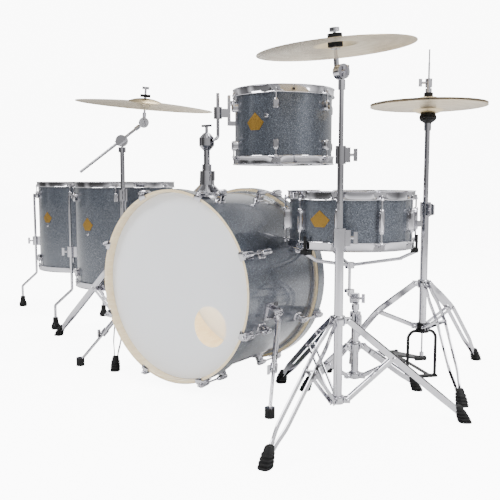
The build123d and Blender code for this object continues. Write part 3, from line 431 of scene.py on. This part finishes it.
def side_of(axis):
    """Two unit vectors across an axis."""
    axis = Vector(axis).normalized()
    helper = UP if abs(axis.z) < 0.9 else Vector((1, 0, 0))
    across = axis.cross(helper).normalized()
    return across, axis.cross(across).normalized()


def turned(outline, base, axis=UP, sides=24, looped=False):
    """Solid of revolution: outline is (radius, height) along the axis from the base, in metres."""
    u, v = side_of(axis)
    axis = Vector(axis).normalized()
    rings = []
    for radius, height in outline:
        middle = Vector(base) + axis * height
        rings.append([middle + (u * cos(2 * pi * k / sides) + v * sin(2 * pi * k / sides)) * radius
                      for k in range(sides)])
    return loft(rings, looped)


def rod(start, end, radius, sides=16):
    """Round bar with a small chamfer at each end."""
    start, end = Vector(start), Vector(end)
    length = (end - start).length
    chamfer = min(radius * 0.3, length * 0.2)
    outline = [(radius - chamfer, 0), (radius, chamfer),
               (radius, length - chamfer), (radius - chamfer, length)]
    return turned(outline, start, end - start, sides)


def block(middle, x_way, z_way, size, chamfer=0.0008):
    """Box with softened edges, from its middle, two directions and its three sizes."""
    x_way, z_way = Vector(x_way).normalized(), Vector(z_way).normalized()
    y_way = z_way.cross(x_way)
    rings = []
    half = [side / 2 for side in size]
    levels = ((-half[2], chamfer), (chamfer - half[2], 0), (half[2] - chamfer, 0), (half[2], chamfer))
    for height, inset in levels:
        a, b = half[0] - inset, half[1] - inset
        cut = min(chamfer, a * 0.4, b * 0.4)
        corners = [(a, b - cut), (a - cut, b), (cut - a, b), (-a, b - cut),
                   (-a, cut - b), (cut - a, -b), (a - cut, -b), (a, cut - b)]
        rings.append([Vector(middle) + x_way * x + y_way * y + z_way * height for x, y in corners])
    return loft(rings)


def pillow(middle, out, up, width, height, depth):
    """Lug casing: a rounded box that narrows as it stands off the shell."""
    out, up = Vector(out).normalized(), Vector(up).normalized()
    across = up.cross(out)
    rings = []
    for stand, scale in ((0.0, 1.0), (0.35, 0.99), (0.7, 0.93), (0.9, 0.82), (1.0, 0.62)):
        ring = []
        for k in range(20):
            c, s = cos(2 * pi * k / 20), sin(2 * pi * k / 20)
            x = width / 2 * scale * abs(c) ** 0.45 * (1 if c > 0 else -1)
            y = height / 2 * (scale + 1) / 2 * abs(s) ** 0.45 * (1 if s > 0 else -1)
            ring.append(Vector(middle) + across * x + up * y + out * (depth * stand))
        rings.append(ring)
    return loft(rings)


def swept(path, section, side):
    """A section carried along a path. side is the section's first direction; its second lies across."""
    path = [Vector(point) for point in path]
    rings = []
    for i, point in enumerate(path):
        ahead = (path[min(i + 1, len(path) - 1)] - point)
        behind = (point - path[max(i - 1, 0)])
        way = (ahead.normalized() + behind.normalized()).normalized()
        across = (Vector(side) - way * way.dot(Vector(side))).normalized()
        other = way.cross(across)
        rings.append([point + across * x + other * y for x, y in section])
    return loft(rings)


def oblong(width, height, cut):
    a, b = width / 2, height / 2
    return [(a, b - cut), (a - cut, b), (cut - a, b), (-a, b - cut),
            (-a, cut - b), (cut - a, -b), (a - cut, -b), (a, cut - b)]


def eased(points, bend, steps=5):
    """The path with each corner rounded."""
    points = [Vector(point) for point in points]
    smooth = [points[0]]
    for before, corner, after in zip(points, points[1:], points[2:]):
        reach = min(bend, (corner - before).length * 0.45, (after - corner).length * 0.45)
        a = corner + (before - corner).normalized() * reach
        b = corner + (after - corner).normalized() * reach
        for k in range(steps + 1):
            t = k / steps
            smooth.append(a * (1 - t) ** 2 + corner * 2 * t * (1 - t) + b * t ** 2)
    return smooth + [points[-1]]


# %% [markdown]
# A piece is one object: it gathers shapes and their finishes, turns every shell outwards, keeps
# hard edges hard, and says which body it rides on and which CAD nodes it stands for.

# %% From shapes to a finished piece
SHARP = radians(32)             # an edge that bends more than this stays hard


def build_mesh(name, coated):
    """One mesh from (finish, shapes) pairs."""
    points, faces, indices, finishes = [], [], [], []
    for finish, shapes in coated:
        finishes.append(finish)
        for shape_points, shape_faces in shapes:
            offset = len(points)
            points += [tuple(point) for point in shape_points]
            faces += [tuple(offset + i for i in face) for face in shape_faces]
            indices += [len(finishes) - 1] * len(shape_faces)
    mesh = bpy.data.meshes.new(name)
    mesh.from_pydata(points, [], faces)
    for finish in finishes:
        mesh.materials.append(finish)
    mesh.polygons.foreach_set("material_index", indices)
    shell = bmesh.new()
    shell.from_mesh(mesh)
    bmesh.ops.recalc_face_normals(shell, faces=shell.faces)
    shell.to_mesh(mesh)
    shell.free()
    mesh.shade_smooth()
    mesh.set_sharp_from_angle(angle=SHARP)
    return mesh


def add_piece(name, coated, body, slot, *replaced):
    piece = bpy.data.objects.new(name, build_mesh(name, coated))
    bpy.context.scene.collection.objects.link(piece)
    return settle(piece, body, slot, *replaced)


def settle(piece, body, slot, *replaced):
    """Hang a finished piece on the body it rides on, and hide the CAD nodes that it replaces. The slot is not
    used.
    """
    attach(piece, body)
    if replaced:
        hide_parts(*replaced)
    print(piece.name, len(piece.data.polygons), "faces")
    return piece


# %% [markdown]
# ## Copies round a drum
# Lugs and claws repeat round a drum, so one is made and a node tree sets out the rest: points on
# a circle, each turned by its own share of the circle, then laid on the drum's axis.

# %% A node tree that repeats a fitting round a drum
def ring_tree():
    tree = bpy.data.node_groups.new("fittings round a drum", "GeometryNodeTree")
    face = tree.interface
    for name, kind in (("Fitting", "Object"), ("Count", "Int"), ("First Angle", "Float"), ("Place", "Vector"),
                       ("Turn", "Vector"), ("Finish", "Material")):
        face.new_socket(name=name, in_out="INPUT", socket_type="NodeSocket" + kind)
    face.new_socket(name="Geometry", in_out="OUTPUT", socket_type="NodeSocketGeometry")
    given = put(tree, "NodeGroupInput").outputs
    spots = put(tree, "GeometryNodeMeshLine", {"Count": given["Count"], "Offset": (0, 0, 0)}).outputs[0]
    step = math(tree, "DIVIDE", 2 * pi, given["Count"])
    turn = math(tree, "MULTIPLY", put(tree, "GeometryNodeInputIndex").outputs[0], step)
    angle = math(tree, "ADD", turn, given["First Angle"])
    spin = put(tree, "ShaderNodeCombineXYZ", {"Z": angle}).outputs[0]
    fitting = put(tree, "GeometryNodeObjectInfo", {"Object": given["Fitting"]}).outputs["Geometry"]
    copies = put(tree, "GeometryNodeInstanceOnPoints",
                 {"Points": spots, "Instance": fitting, "Rotation": spin}).outputs[0]
    laid = put(tree, "GeometryNodeTransform", {"Geometry": copies, "Translation": given["Place"],
                                              "Rotation": given["Turn"]}).outputs[0]
    real = put(tree, "GeometryNodeRealizeInstances", {"Geometry": laid}).outputs[0]
    done = put(tree, "GeometryNodeSetMaterial", {"Geometry": real, "Material": given["Finish"]}).outputs[0]
    put(tree, "NodeGroupOutput", {"Geometry": done})
    return tree


RING = ring_tree()
RING_KEYS = {item.name: item.identifier for item in RING.interface.items_tree if item.in_out == "INPUT"}


def grown(tree, keys, name, values):
    """The plain mesh that a node tree makes with these input values."""
    carrier = bpy.data.objects.new(name, bpy.data.meshes.new(name + " carrier"))
    bpy.context.scene.collection.objects.link(carrier)
    modifier = carrier.modifiers.new("nodes", "NODES")
    modifier.node_group = tree
    for key, value in values.items():
        modifier[keys[key]] = value
    evaluated = carrier.evaluated_get(bpy.context.evaluated_depsgraph_get())
    mesh = bpy.data.meshes.new_from_object(evaluated)
    carrier.modifiers.clear()
    bpy.data.objects.remove(carrier)
    return mesh


def round_the_drum(name, shapes, count, first, place, turn=(0, 0, 0), finish=None):
    """The plain mesh of a fitting repeated round a drum."""
    pattern = bpy.data.objects.new(name + " pattern", build_mesh(name + " pattern", [(CHROME, shapes)]))
    bpy.context.scene.collection.objects.link(pattern)
    values = {"Fitting": pattern, "Count": count, "First Angle": radians(first), "Place": tuple(place),
              "Turn": tuple(turn), "Finish": finish or CHROME}
    mesh = grown(RING, RING_KEYS, name, values)
    bpy.data.objects.remove(pattern)
    return mesh


def piece_from(name, meshes, body, slot, *replaced):
    """One piece from several meshes."""
    gathered = bmesh.new()
    for mesh in meshes:
        gathered.from_mesh(mesh)
    whole = bpy.data.meshes.new(name)
    whole.materials.append(CHROME)
    gathered.to_mesh(whole)
    gathered.free()
    whole.polygons.foreach_set("material_index", [0] * len(whole.polygons))
    whole.shade_smooth()
    whole.set_sharp_from_angle(angle=SHARP)
    piece = bpy.data.objects.new(name, whole)
    bpy.context.scene.collection.objects.link(piece)
    return settle(piece, body, slot, *replaced)


# %% Tension rods and lugs of the standing drums
OUT, HIGH = Vector((1, 0, 0)), Vector((0, 0, 1))


def tension_rod(radius, start, way, reach):
    """Key rod at a radius: shank from start, washer, collar and square head at the ear."""
    base = OUT * radius + HIGH * start
    ear = base + HIGH * (way * reach)
    return [rod(base, ear, 0.0026, 10),
            turned([(0.0055, 0), (0.0058, 0.0008), (0.0055, 0.0016)], ear, HIGH * way, 16),
            turned([(0.0045, 0), (0.0048, 0.001), (0.0042, 0.004)],
                   ear + HIGH * (way * 0.0016), HIGH * way, 16),
            block(ear + HIGH * (way * 0.0095), OUT, HIGH, (0.0056, 0.0056, 0.009))]


def drum_fittings(radius, half_height, lug_from_mid, lug_height, single):
    """Lugs and rods at one angle, both ends, with Z measured from the drum's middle."""
    axis_r = radius + 0.0126
    ear = half_height - 0.026
    shapes = []
    if single:
        shapes.append(pillow(OUT * radius, OUT, HIGH, 0.017, lug_height, 0.0175))
        for way in (-1, 1):
            shapes.append(turned([(0.0068, 0), (0.0068, 0.004), (0.0052, 0.008)],
                                 OUT * axis_r + HIGH * (way * (lug_height / 2 - 0.006)), HIGH * way, 16))
    for way in (-1, 1):
        if not single:
            place = OUT * radius + HIGH * (way * lug_from_mid)
            shapes.append(pillow(place, OUT, HIGH, 0.019, lug_height, 0.0185))
            collar = OUT * axis_r + HIGH * (way * (lug_from_mid + lug_height / 2 - 0.006))
            shapes.append(turned([(0.0066, 0), (0.0066, 0.003), (0.0050, 0.007)], collar, HIGH * way, 16))
        start = way * (lug_from_mid + lug_height / 2 - 0.004)
        shapes += tension_rod(axis_r, start, way, ear - abs(start))
    return shapes


TOM_LUGS, TOM_LUG_FIRST = 6, -64.0
FLOOR_LUGS, FLOOR_LUG_FIRST = 6, -112.0
SNARE_LUGS, SNARE_LUG_FIRST = 10, -36.8
tom_half = (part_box("tom_hoops")[1].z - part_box("tom_hoops")[0].z) / 2
snare_half = (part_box("snare_hoops")[1].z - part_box("snare_hoops")[0].z) / 2
floor_half = (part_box("floor_hoops")[1].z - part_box("floor_hoops")[0].z) / 2
tom_fittings = drum_fittings(TOM_R, tom_half, 0.058, 0.030, False)
tom_set = round_the_drum("tom lugs", tom_fittings, TOM_LUGS, TOM_LUG_FIRST, tom_middle)
piece_from("tom_lug_set", [tom_set], "rack_tom", "chrome_plate", "tom_lugs")
snare_fittings = drum_fittings(SNARE_R, snare_half, 0.0, 0.062, True)
snare_set = round_the_drum("snare lugs", snare_fittings, SNARE_LUGS, SNARE_LUG_FIRST, snare_middle)
piece_from("snare_lug_set", [snare_set], "snare", "chrome_plate", "snare_lugs")
floor_fittings = drum_fittings(FLOOR_R, floor_half, 0.153, 0.034, False)
floor_sets = [round_the_drum(f"floor lugs {k}", floor_fittings, FLOOR_LUGS, FLOOR_LUG_FIRST, middle)
              for k, middle in enumerate(FLOOR_TOMS)]
piece_from("floor_lug_sets", floor_sets, "frame", "chrome_plate", "floor_lugs")


# %% [markdown]
# The bass drum's rods run along the shell to claws hooked over its wooden hoops. Each claw has a
# boss for the rod, and each lug is a barrel on a short tower.

# %% Bass drum claws and lugs
HOOP_OUT, HOOP_FRONT = 0.296, 0.207
ROD_AXIS_R, LUG_ALONG = 0.305, 0.100


def bass_fittings():
    claws, lugs = [], []
    for way in (-1, 1):
        ahead = HIGH * way
        outline = [(HOOP_OUT + 0.0004, 0.166), (HOOP_OUT + 0.0004, HOOP_FRONT + 0.0006),
                   (HOOP_OUT - 0.011, HOOP_FRONT + 0.0006), (HOOP_OUT - 0.0125, HOOP_FRONT + 0.0028),
                   (HOOP_OUT - 0.009, HOOP_FRONT + 0.0048), (HOOP_OUT + 0.002, HOOP_FRONT + 0.0044),
                   (HOOP_OUT + 0.0058, HOOP_FRONT), (HOOP_OUT + 0.0052, 0.180), (HOOP_OUT + 0.0024, 0.166)]
        rings = []
        for across, shrink in ((-0.013, 0.6), (-0.0115, 1.0), (0.0115, 1.0), (0.013, 0.6)):
            middle_r, middle_z = HOOP_OUT + 0.002, 0.190
            rings.append([OUT * (middle_r + (r - middle_r) * (0.85 + 0.15 * shrink)) + Vector((0, across, 0))
                          + ahead * (middle_z + (z - middle_z) * (0.94 + 0.06 * shrink)) for r, z in outline])
        claws.append(loft(rings))
        axis = OUT * ROD_AXIS_R
        boss = [(0.0062, 0.172), (0.0078, 0.177), (0.0092, 0.196), (0.0096, 0.205), (0.0085, 0.2095)]
        claws.append(turned(boss, axis, ahead, 20))
        claws.append(turned([(0.0055, 0.2096), (0.0058, 0.2120), (0.0046, 0.2136)], axis, ahead, 16))
        claws.append(block(axis + ahead * 0.2168, OUT, ahead, (0.0060, 0.0060, 0.0066)))
        claws.append(turned([(0.003, 0.128), (0.003, 0.173)], axis, ahead, 12))
        barrel = [(0.0050, 0.084), (0.0078, 0.087), (0.0085, 0.092), (0.0085, 0.108), (0.0078, 0.118),
                  (0.0056, 0.126), (0.0044, 0.128)]
        lugs.append(turned(barrel, axis, ahead, 20))
        seat = OUT * (BASS_R - 0.001) + ahead * LUG_ALONG
        lugs.append(pillow(seat, OUT, ahead, 0.020, 0.026, 0.025))
        lugs.append(pillow(seat, OUT, ahead, 0.028, 0.036, 0.006))
    return claws, lugs


CLAWS, FIRST_CLAW = 8, 22.5
TO_FRONT = (radians(90), 0, 0)
claw_shapes, lug_shapes = bass_fittings()
claw_set = round_the_drum("claws", claw_shapes, CLAWS, FIRST_CLAW, bass_middle, TO_FRONT)
piece_from("bass_claw_set", [claw_set], "frame", "chrome_plate", "bass_claws")
bass_lug_set = round_the_drum("bass lugs", lug_shapes, CLAWS, FIRST_CLAW, bass_middle, TO_FRONT)
piece_from("bass_lug_set", [bass_lug_set], "frame", "chrome_plate", "bass_lugs")


# %% [markdown]
# ## Flanged hoops
# A metal hoop is rolled from sheet with an outward flange at each edge. The lower flange swells
# into an ear wherever a rod passes, so the hoop's edge runs in waves between the lugs.

# %% Hoops with ears
def flanged_hoop(middle, radius, rim_z, inward, lugs, first):
    rings = []
    steps = 24 * lugs if lugs < 10 else 20 * lugs
    for k in range(steps):
        angle = 360 * k / steps
        nearest = min(abs((angle - first - 360 * n / lugs + 180) % 360 - 180) for n in range(lugs))
        ear = 0.0095 * 2.718 ** -((radians(nearest) * radius / 0.013) ** 2)
        dip = 0.0022 * 2.718 ** -((radians(nearest) * radius / 0.022) ** 2)
        profile = [(0.0040, 0), (0.0072, 0), (0.0082, 0.0009), (0.0074, 0.0021), (0.0058, 0.0032),
                   (0.0056, 0.0180 - dip), (0.0066 + ear * 0.8, 0.0222 - dip), (0.0082 + ear, 0.0228 - dip),
                   (0.0086 + ear, 0.0240 - dip), (0.0082 + ear, 0.0252 - dip),
                   (0.0060 + ear * 0.7, 0.0252 - dip), (0.0046, 0.0236 - dip),
                   (0.0034, 0.0200 - dip), (0.0034, 0.0012)]
        out = heading(angle)
        rings.append([Vector((middle.x, middle.y, rim_z + inward * z)) + out * (radius + r)
                      for r, z in profile])
    return loft(rings, looped=True)


def hoop_pair(name, middles, radius, node, lugs, first, body):
    low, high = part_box(node)
    shapes = []
    for middle in middles:
        shapes.append(flanged_hoop(middle, radius, low.z, 1, lugs, first))
        shapes.append(flanged_hoop(middle, radius, high.z, -1, lugs, first))
    add_piece(name, [(CHROME, shapes)], body, "chrome_plate", node)


hoop_pair("tom_flanged_hoops", [tom_middle], TOM_R, "tom_hoops", TOM_LUGS, TOM_LUG_FIRST, "rack_tom")
hoop_pair("snare_flanged_hoops", [snare_middle], SNARE_R, "snare_hoops", SNARE_LUGS, SNARE_LUG_FIRST, "snare")
hoop_pair("floor_flanged_hoops", FLOOR_TOMS, FLOOR_R, "floor_hoops", FLOOR_LUGS, FLOOR_LUG_FIRST, "frame")


# %% [markdown]
# ## Badges and vents
# A plain brass plate is pinned to the tom, the snare and each floor tom, and the toms have an air vent beside
# it. It carries no lettering.

# %% Badges
def badge(middle, radius, azimuth, z, width, height):
    """Five-sided plate curved to the shell: pointed top, widest just under its middle, narrow base."""
    rings = []
    steps = 16
    for k in range(steps + 1):
        t = -1 + 2 * k / steps
        x = t * width / 2
        top = height * (0.5 - 0.56 * abs(t))
        base_t = 0.5
        rise = max(0.0, (abs(t) - base_t) / (1 - base_t))
        bottom = -height * (0.5 - 0.44 * rise)
        if abs(t) == 1:
            top, bottom = 0.0004 - height * 0.06, -0.0004 - height * 0.06
        out = heading(azimuth + degrees(x / radius))
        line = []
        for r, y in ((0.0016, top), (0.0016, bottom), (0.0002, bottom), (0.0002, top)):
            line.append(Vector((middle.x, middle.y, z + y)) + out * (radius + r))
        rings.append(line)
    shapes = [loft(rings)]
    for x, y in ((0, 0.36), (-0.40, -0.04), (0.40, -0.04), (-0.17, -0.38), (0.17, -0.38)):
        out = heading(azimuth + degrees(x * width / radius))
        seat = Vector((middle.x, middle.y, z + y * height)) + out * (radius + 0.0014)
        shapes.append(turned([(0.0016, 0), (0.0015, 0.0007), (0.0006, 0.0010)], seat, out, 12))
    return shapes


def vent(middle, radius, azimuth, z):
    out = heading(azimuth)
    seat = Vector((middle.x, middle.y, z)) + out * (radius - 0.0004)
    outline = [(0.0030, 0.0030), (0.0052, 0.0026), (0.0068, 0.0010), (0.0068, 0), (0.0030, 0)]
    return [turned(outline, seat, out, 20, True)]


BADGE_SIDE = -90.0
tom_vent = vent(tom_middle, TOM_R, BADGE_SIDE + 14, 0.826)
tom_plate = badge(tom_middle, TOM_R, BADGE_SIDE, 0.810, 0.060, 0.052)
add_piece("tom_badge", [(GOLD, tom_plate), (CHROME, tom_vent)], "rack_tom", "sparkle_shell")
add_piece("snare_badge", [(GOLD, badge(snare_middle, SNARE_R, BADGE_SIDE, 0.531, 0.060, 0.046))],
          "snare", "sparkle_shell")
floor_badges, floor_vents = [], []
for middle in FLOOR_TOMS:
    floor_badges += badge(middle, FLOOR_R, BADGE_SIDE, 0.462, 0.060, 0.052)
    floor_vents += vent(middle, FLOOR_R, BADGE_SIDE, 0.422)
add_piece("floor_badges", [(GOLD, floor_badges), (CHROME, floor_vents)], "frame", "sparkle_shell")


# %% [markdown]
# ## Tripods
# Each stand has three double-braced legs: two flat steel bars side by side, pinned to a collar at
# the top, drawn together in a ridged rubber boot at the foot, and held out by two brace strips.

# %% Legs, braces and boots
def boot(toe, way, size):
    """Ridged rubber boot, flat on the floor, leaning back along its leg."""
    side = UP.cross(way)
    rings = []
    levels = [(0.0, 0.92), (0.04, 1.0), (0.13, 1.0), (0.15, 0.80), (0.20, 0.80), (0.22, 1.0), (0.31, 1.0),
              (0.33, 0.78), (0.38, 0.78), (0.40, 0.96), (0.49, 0.96), (0.51, 0.74), (0.56, 0.74),
              (0.58, 0.90), (0.67, 0.90), (0.69, 0.74), (0.85, 0.72), (0.95, 0.66), (1.0, 0.56)]
    for level, scale in levels:
        middle = toe + way * (size * (0.30 - 0.75 * level)) + UP * (size * 1.75 * level)
        a, b = size * 0.70 * scale * (1 - 0.20 * level), size * 0.62 * scale
        ring = []
        for k in range(20):
            c, s = cos(2 * pi * k / 20), sin(2 * pi * k / 20)
            ring.append(middle + way * (a * abs(c) ** 0.7 * (1 if c > 0 else -1))
                        + side * (b * abs(s) ** 0.7 * (1 if s > 0 else -1)))
        rings.append(ring)
    return loft(rings)


def ring_round(base, tube_r, height):
    """A collar on a tube, open where the tube passes."""
    outline = [(tube_r + 0.0002, 0), (tube_r + 0.005, 0), (tube_r + 0.006, 0.002),
               (tube_r + 0.006, height - 0.002), (tube_r + 0.005, height), (tube_r + 0.0002, height)]
    return turned(outline, base, UP, 32, True)


def tripod(name, body, node, post, feet, tube_r, collar_z, hub_z, knee, bow, size=0.026, hub_finish=None):
    bars, boots = [], []
    bars.append(ring_round(post + UP * (collar_z - 0.013), tube_r, 0.026))
    hub = ring_round(post + UP * (hub_z - 0.010), tube_r, 0.020)
    for foot in feet:
        toe = kit(*foot)
        way = (toe - post).normalized()
        side = UP.cross(way)
        top = post + way * (tube_r + 0.014) + UP * collar_z
        low = toe - way * 0.012 + UP * 0.030
        pin = top + (low - top) * knee + UP * bow
        for sign in (-1, 1):
            spread = [(0.0, 0.0070), (0.10, 0.0075), (0.20, 0.0125), (knee, 0.0130), (0.84, 0.0125),
                      (0.93, 0.0060), (1.0, 0.0050)]
            path = []
            for t, off in spread:
                if t <= knee:
                    spot = top + (pin - top) * (t / knee)
                else:
                    spot = pin + (low - pin) * ((t - knee) / (1 - knee))
                path.append(spot + side * (sign * off))
            bars.append(swept(eased(path, 0.02, 3), oblong(0.0030, 0.0170, 0.0010), side))
            hub_pin = post + way * (tube_r + 0.014) + UP * hub_z
            brace = [hub_pin + side * (sign * 0.0085), pin + side * (sign * 0.0100)]
            bars.append(swept(brace, oblong(0.0024, 0.0120, 0.0008), side))
            for spot in (top, hub_pin):
                ear = spot - way * 0.004 + side * (sign * 0.0046)
                bars.append(block(ear, way, side, (0.024, 0.018, 0.0022)))
        for spot, half in ((top, 0.0105), (hub_pin, 0.0115), (pin, 0.0165)):
            bars.append(rod(spot - side * half, spot + side * half, 0.0030, 12))
            for sign in (-1, 1):
                bars.append(turned([(0.0050, -0.0012), (0.0050, 0.0004), (0.0030, 0.0018)],
                                   spot + side * (sign * half), side * sign, 14))
        boots.append(boot(toe, way, size))
    coated = [(CHROME, bars), (RUBBER, boots), (hub_finish or CHROME, [hub])]
    add_piece(name, coated, body, "chrome_plate", node)


CRASH_FEET = [(556.0, -495.0), (813.0, 37.0), (242.0, 39.0)]
RIDE_FEET = [(-854.0, 37.0), (-290.0, -172.0), (-405.0, 408.0)]
HAT_FEET = [(301.0, 233.0), (646.0, 671.0), (766.0, 168.0)]
SNARE_FEET = [(321.0, 368.0), (342.0, 25.0), (607.0, 220.0)]
TUBE_R = 0.012
# Post, feet, tube radius, then the heights of collar and hub, where the knee is, and its bow.
tripod("crash_tripod", "frame", "crash_legs", CRASH_POST, CRASH_FEET, TUBE_R, 0.268, 0.055, 0.41, 0.0)
tripod("ride_tripod", "frame", "ride_legs", RIDE_POST, RIDE_FEET, TUBE_R, 0.344, 0.096, 0.41, 0.0)
tripod("hat_tripod", "frame", "hat_legs", HAT_POST, HAT_FEET, TUBE_R, 0.307, 0.170, 0.45, 0.030,
       hub_finish=CASTING)
tripod("snare_tripod", "frame", "snare_stand_legs", SNARE_POST, SNARE_FEET, TUBE_R, 0.124, 0.030, 0.53, 0.0,
       size=0.024)


# %% Floor and studio light
BACKDROP = 11.0
WHITE, tree, shader = new_material("studio floor, matt white vinyl")
shader.inputs["Base Color"].default_value = linear("#f4f4f4")
shader.inputs["Roughness"].default_value = 0.85
shader.inputs["Emission Color"].default_value = (1.0, 1.0, 1.0, 1.0)
seen = put(tree, "ShaderNodeLightPath").outputs["Is Camera Ray"]
link(tree, math(tree, "MULTIPLY", seen, BACKDROP * 0.8), shader.inputs["Emission Strength"])
floor_mesh = bpy.data.meshes.new("floor")
EDGE = 14.0
corners = [(-EDGE, -EDGE, 0), (EDGE, -EDGE, 0), (EDGE, EDGE, 0), (-EDGE, EDGE, 0)]
floor_mesh.from_pydata(corners, [], [(0, 1, 2, 3)])
floor_mesh.materials.append(WHITE)
floor = bpy.data.objects.new("floor", floor_mesh)
bpy.context.scene.collection.objects.link(floor)

world = bpy.data.worlds.new("studio")
bpy.context.scene.world = world
world.use_nodes = True
tree = world.node_tree
background = tree.nodes["Background"]
direction = put(tree, "ShaderNodeTexCoord").outputs["Generated"]
parts = put(tree, "ShaderNodeSeparateXYZ", {"Vector": direction})
round_about = math(tree, "ARCTAN2", parts.outputs["Y"], parts.outputs["X"])


def room_tones(value, stops):
    """A grey ramp through (position, level) stops."""
    ramp = put(tree, "ShaderNodeValToRGB", {"Fac": value})
    ramp.color_ramp.elements.remove(ramp.color_ramp.elements[1])
    ramp.color_ramp.elements[0].position = stops[0][0]
    ramp.color_ramp.elements[0].color = (stops[0][1],) * 3 + (1,)
    for position, level in stops[1:]:
        ramp.color_ramp.elements.new(position).color = (level,) * 3 + (1,)
    return ramp.outputs["Color"]


height_tones = room_tones(remap(tree, parts.outputs["Z"], 0.0, 1.0, -1.0, 1.0),
                          [(0.0, 1.0), (0.47, 1.0), (0.50, 0.45), (0.545, 0.55), (0.60, 1.4), (0.70, 1.6),
                           (0.78, 0.35), (1.0, 1.6)])
side_tones = room_tones(remap(tree, round_about, 0.0, 1.0, -pi, pi),
                        [(0.0, 1.0), (0.03, 0.30), (0.09, 0.16), (0.12, 1.1), (0.15, 0.20), (0.24, 0.28),
                         (0.28, 1.0), (0.36, 1.4), (0.50, 1.6), (0.58, 0.45), (0.63, 1.5), (0.80, 1.3),
                         (0.91, 0.40), (0.96, 1.2), (1.0, 1.0)])
room = put(tree, "ShaderNodeVectorMath", {0: height_tones, 1: side_tones}, operation="MULTIPLY").outputs[0]
seen = put(tree, "ShaderNodeLightPath").outputs["Is Camera Ray"]
link(tree, mix_colour(tree, seen, room, (BACKDROP, BACKDROP, BACKDROP, 1.0)), background.inputs["Color"])
background.inputs["Strength"].default_value = 0.9


def soft_light(name, place, aim, size, watts):
    """A large square light pointed at a place."""
    data = bpy.data.lights.new(name, "AREA")
    data.shape = "SQUARE"
    data.size = size
    data.energy = watts
    lamp = bpy.data.objects.new(name, data)
    lamp.location = place
    lamp.rotation_euler = (Vector(aim) - Vector(place)).to_track_quat("-Z", "Y").to_euler()
    bpy.context.scene.collection.objects.link(lamp)


inside = bpy.data.lights.new("lamp inside the bass drum", "POINT")
inside.energy = 5
inside.shadow_soft_size = 0.05
inside_lamp = bpy.data.objects.new("lamp inside the bass drum", inside)
inside_lamp.location = bass_middle + Vector((-0.10, 0.03, 0.16))
bpy.context.scene.collection.objects.link(inside_lamp)
soft_light("key light", (-1.5, -3.2, 3.2), (0, 0, 0.4), 1.8, 170)
soft_light("right light", (3.6, -0.6, 2.4), (0.4, 0, 0.5), 1.6, 130)
soft_light("top light", (0.2, 1.6, 3.8), (0, 0, 0.5), 2.2, 150)
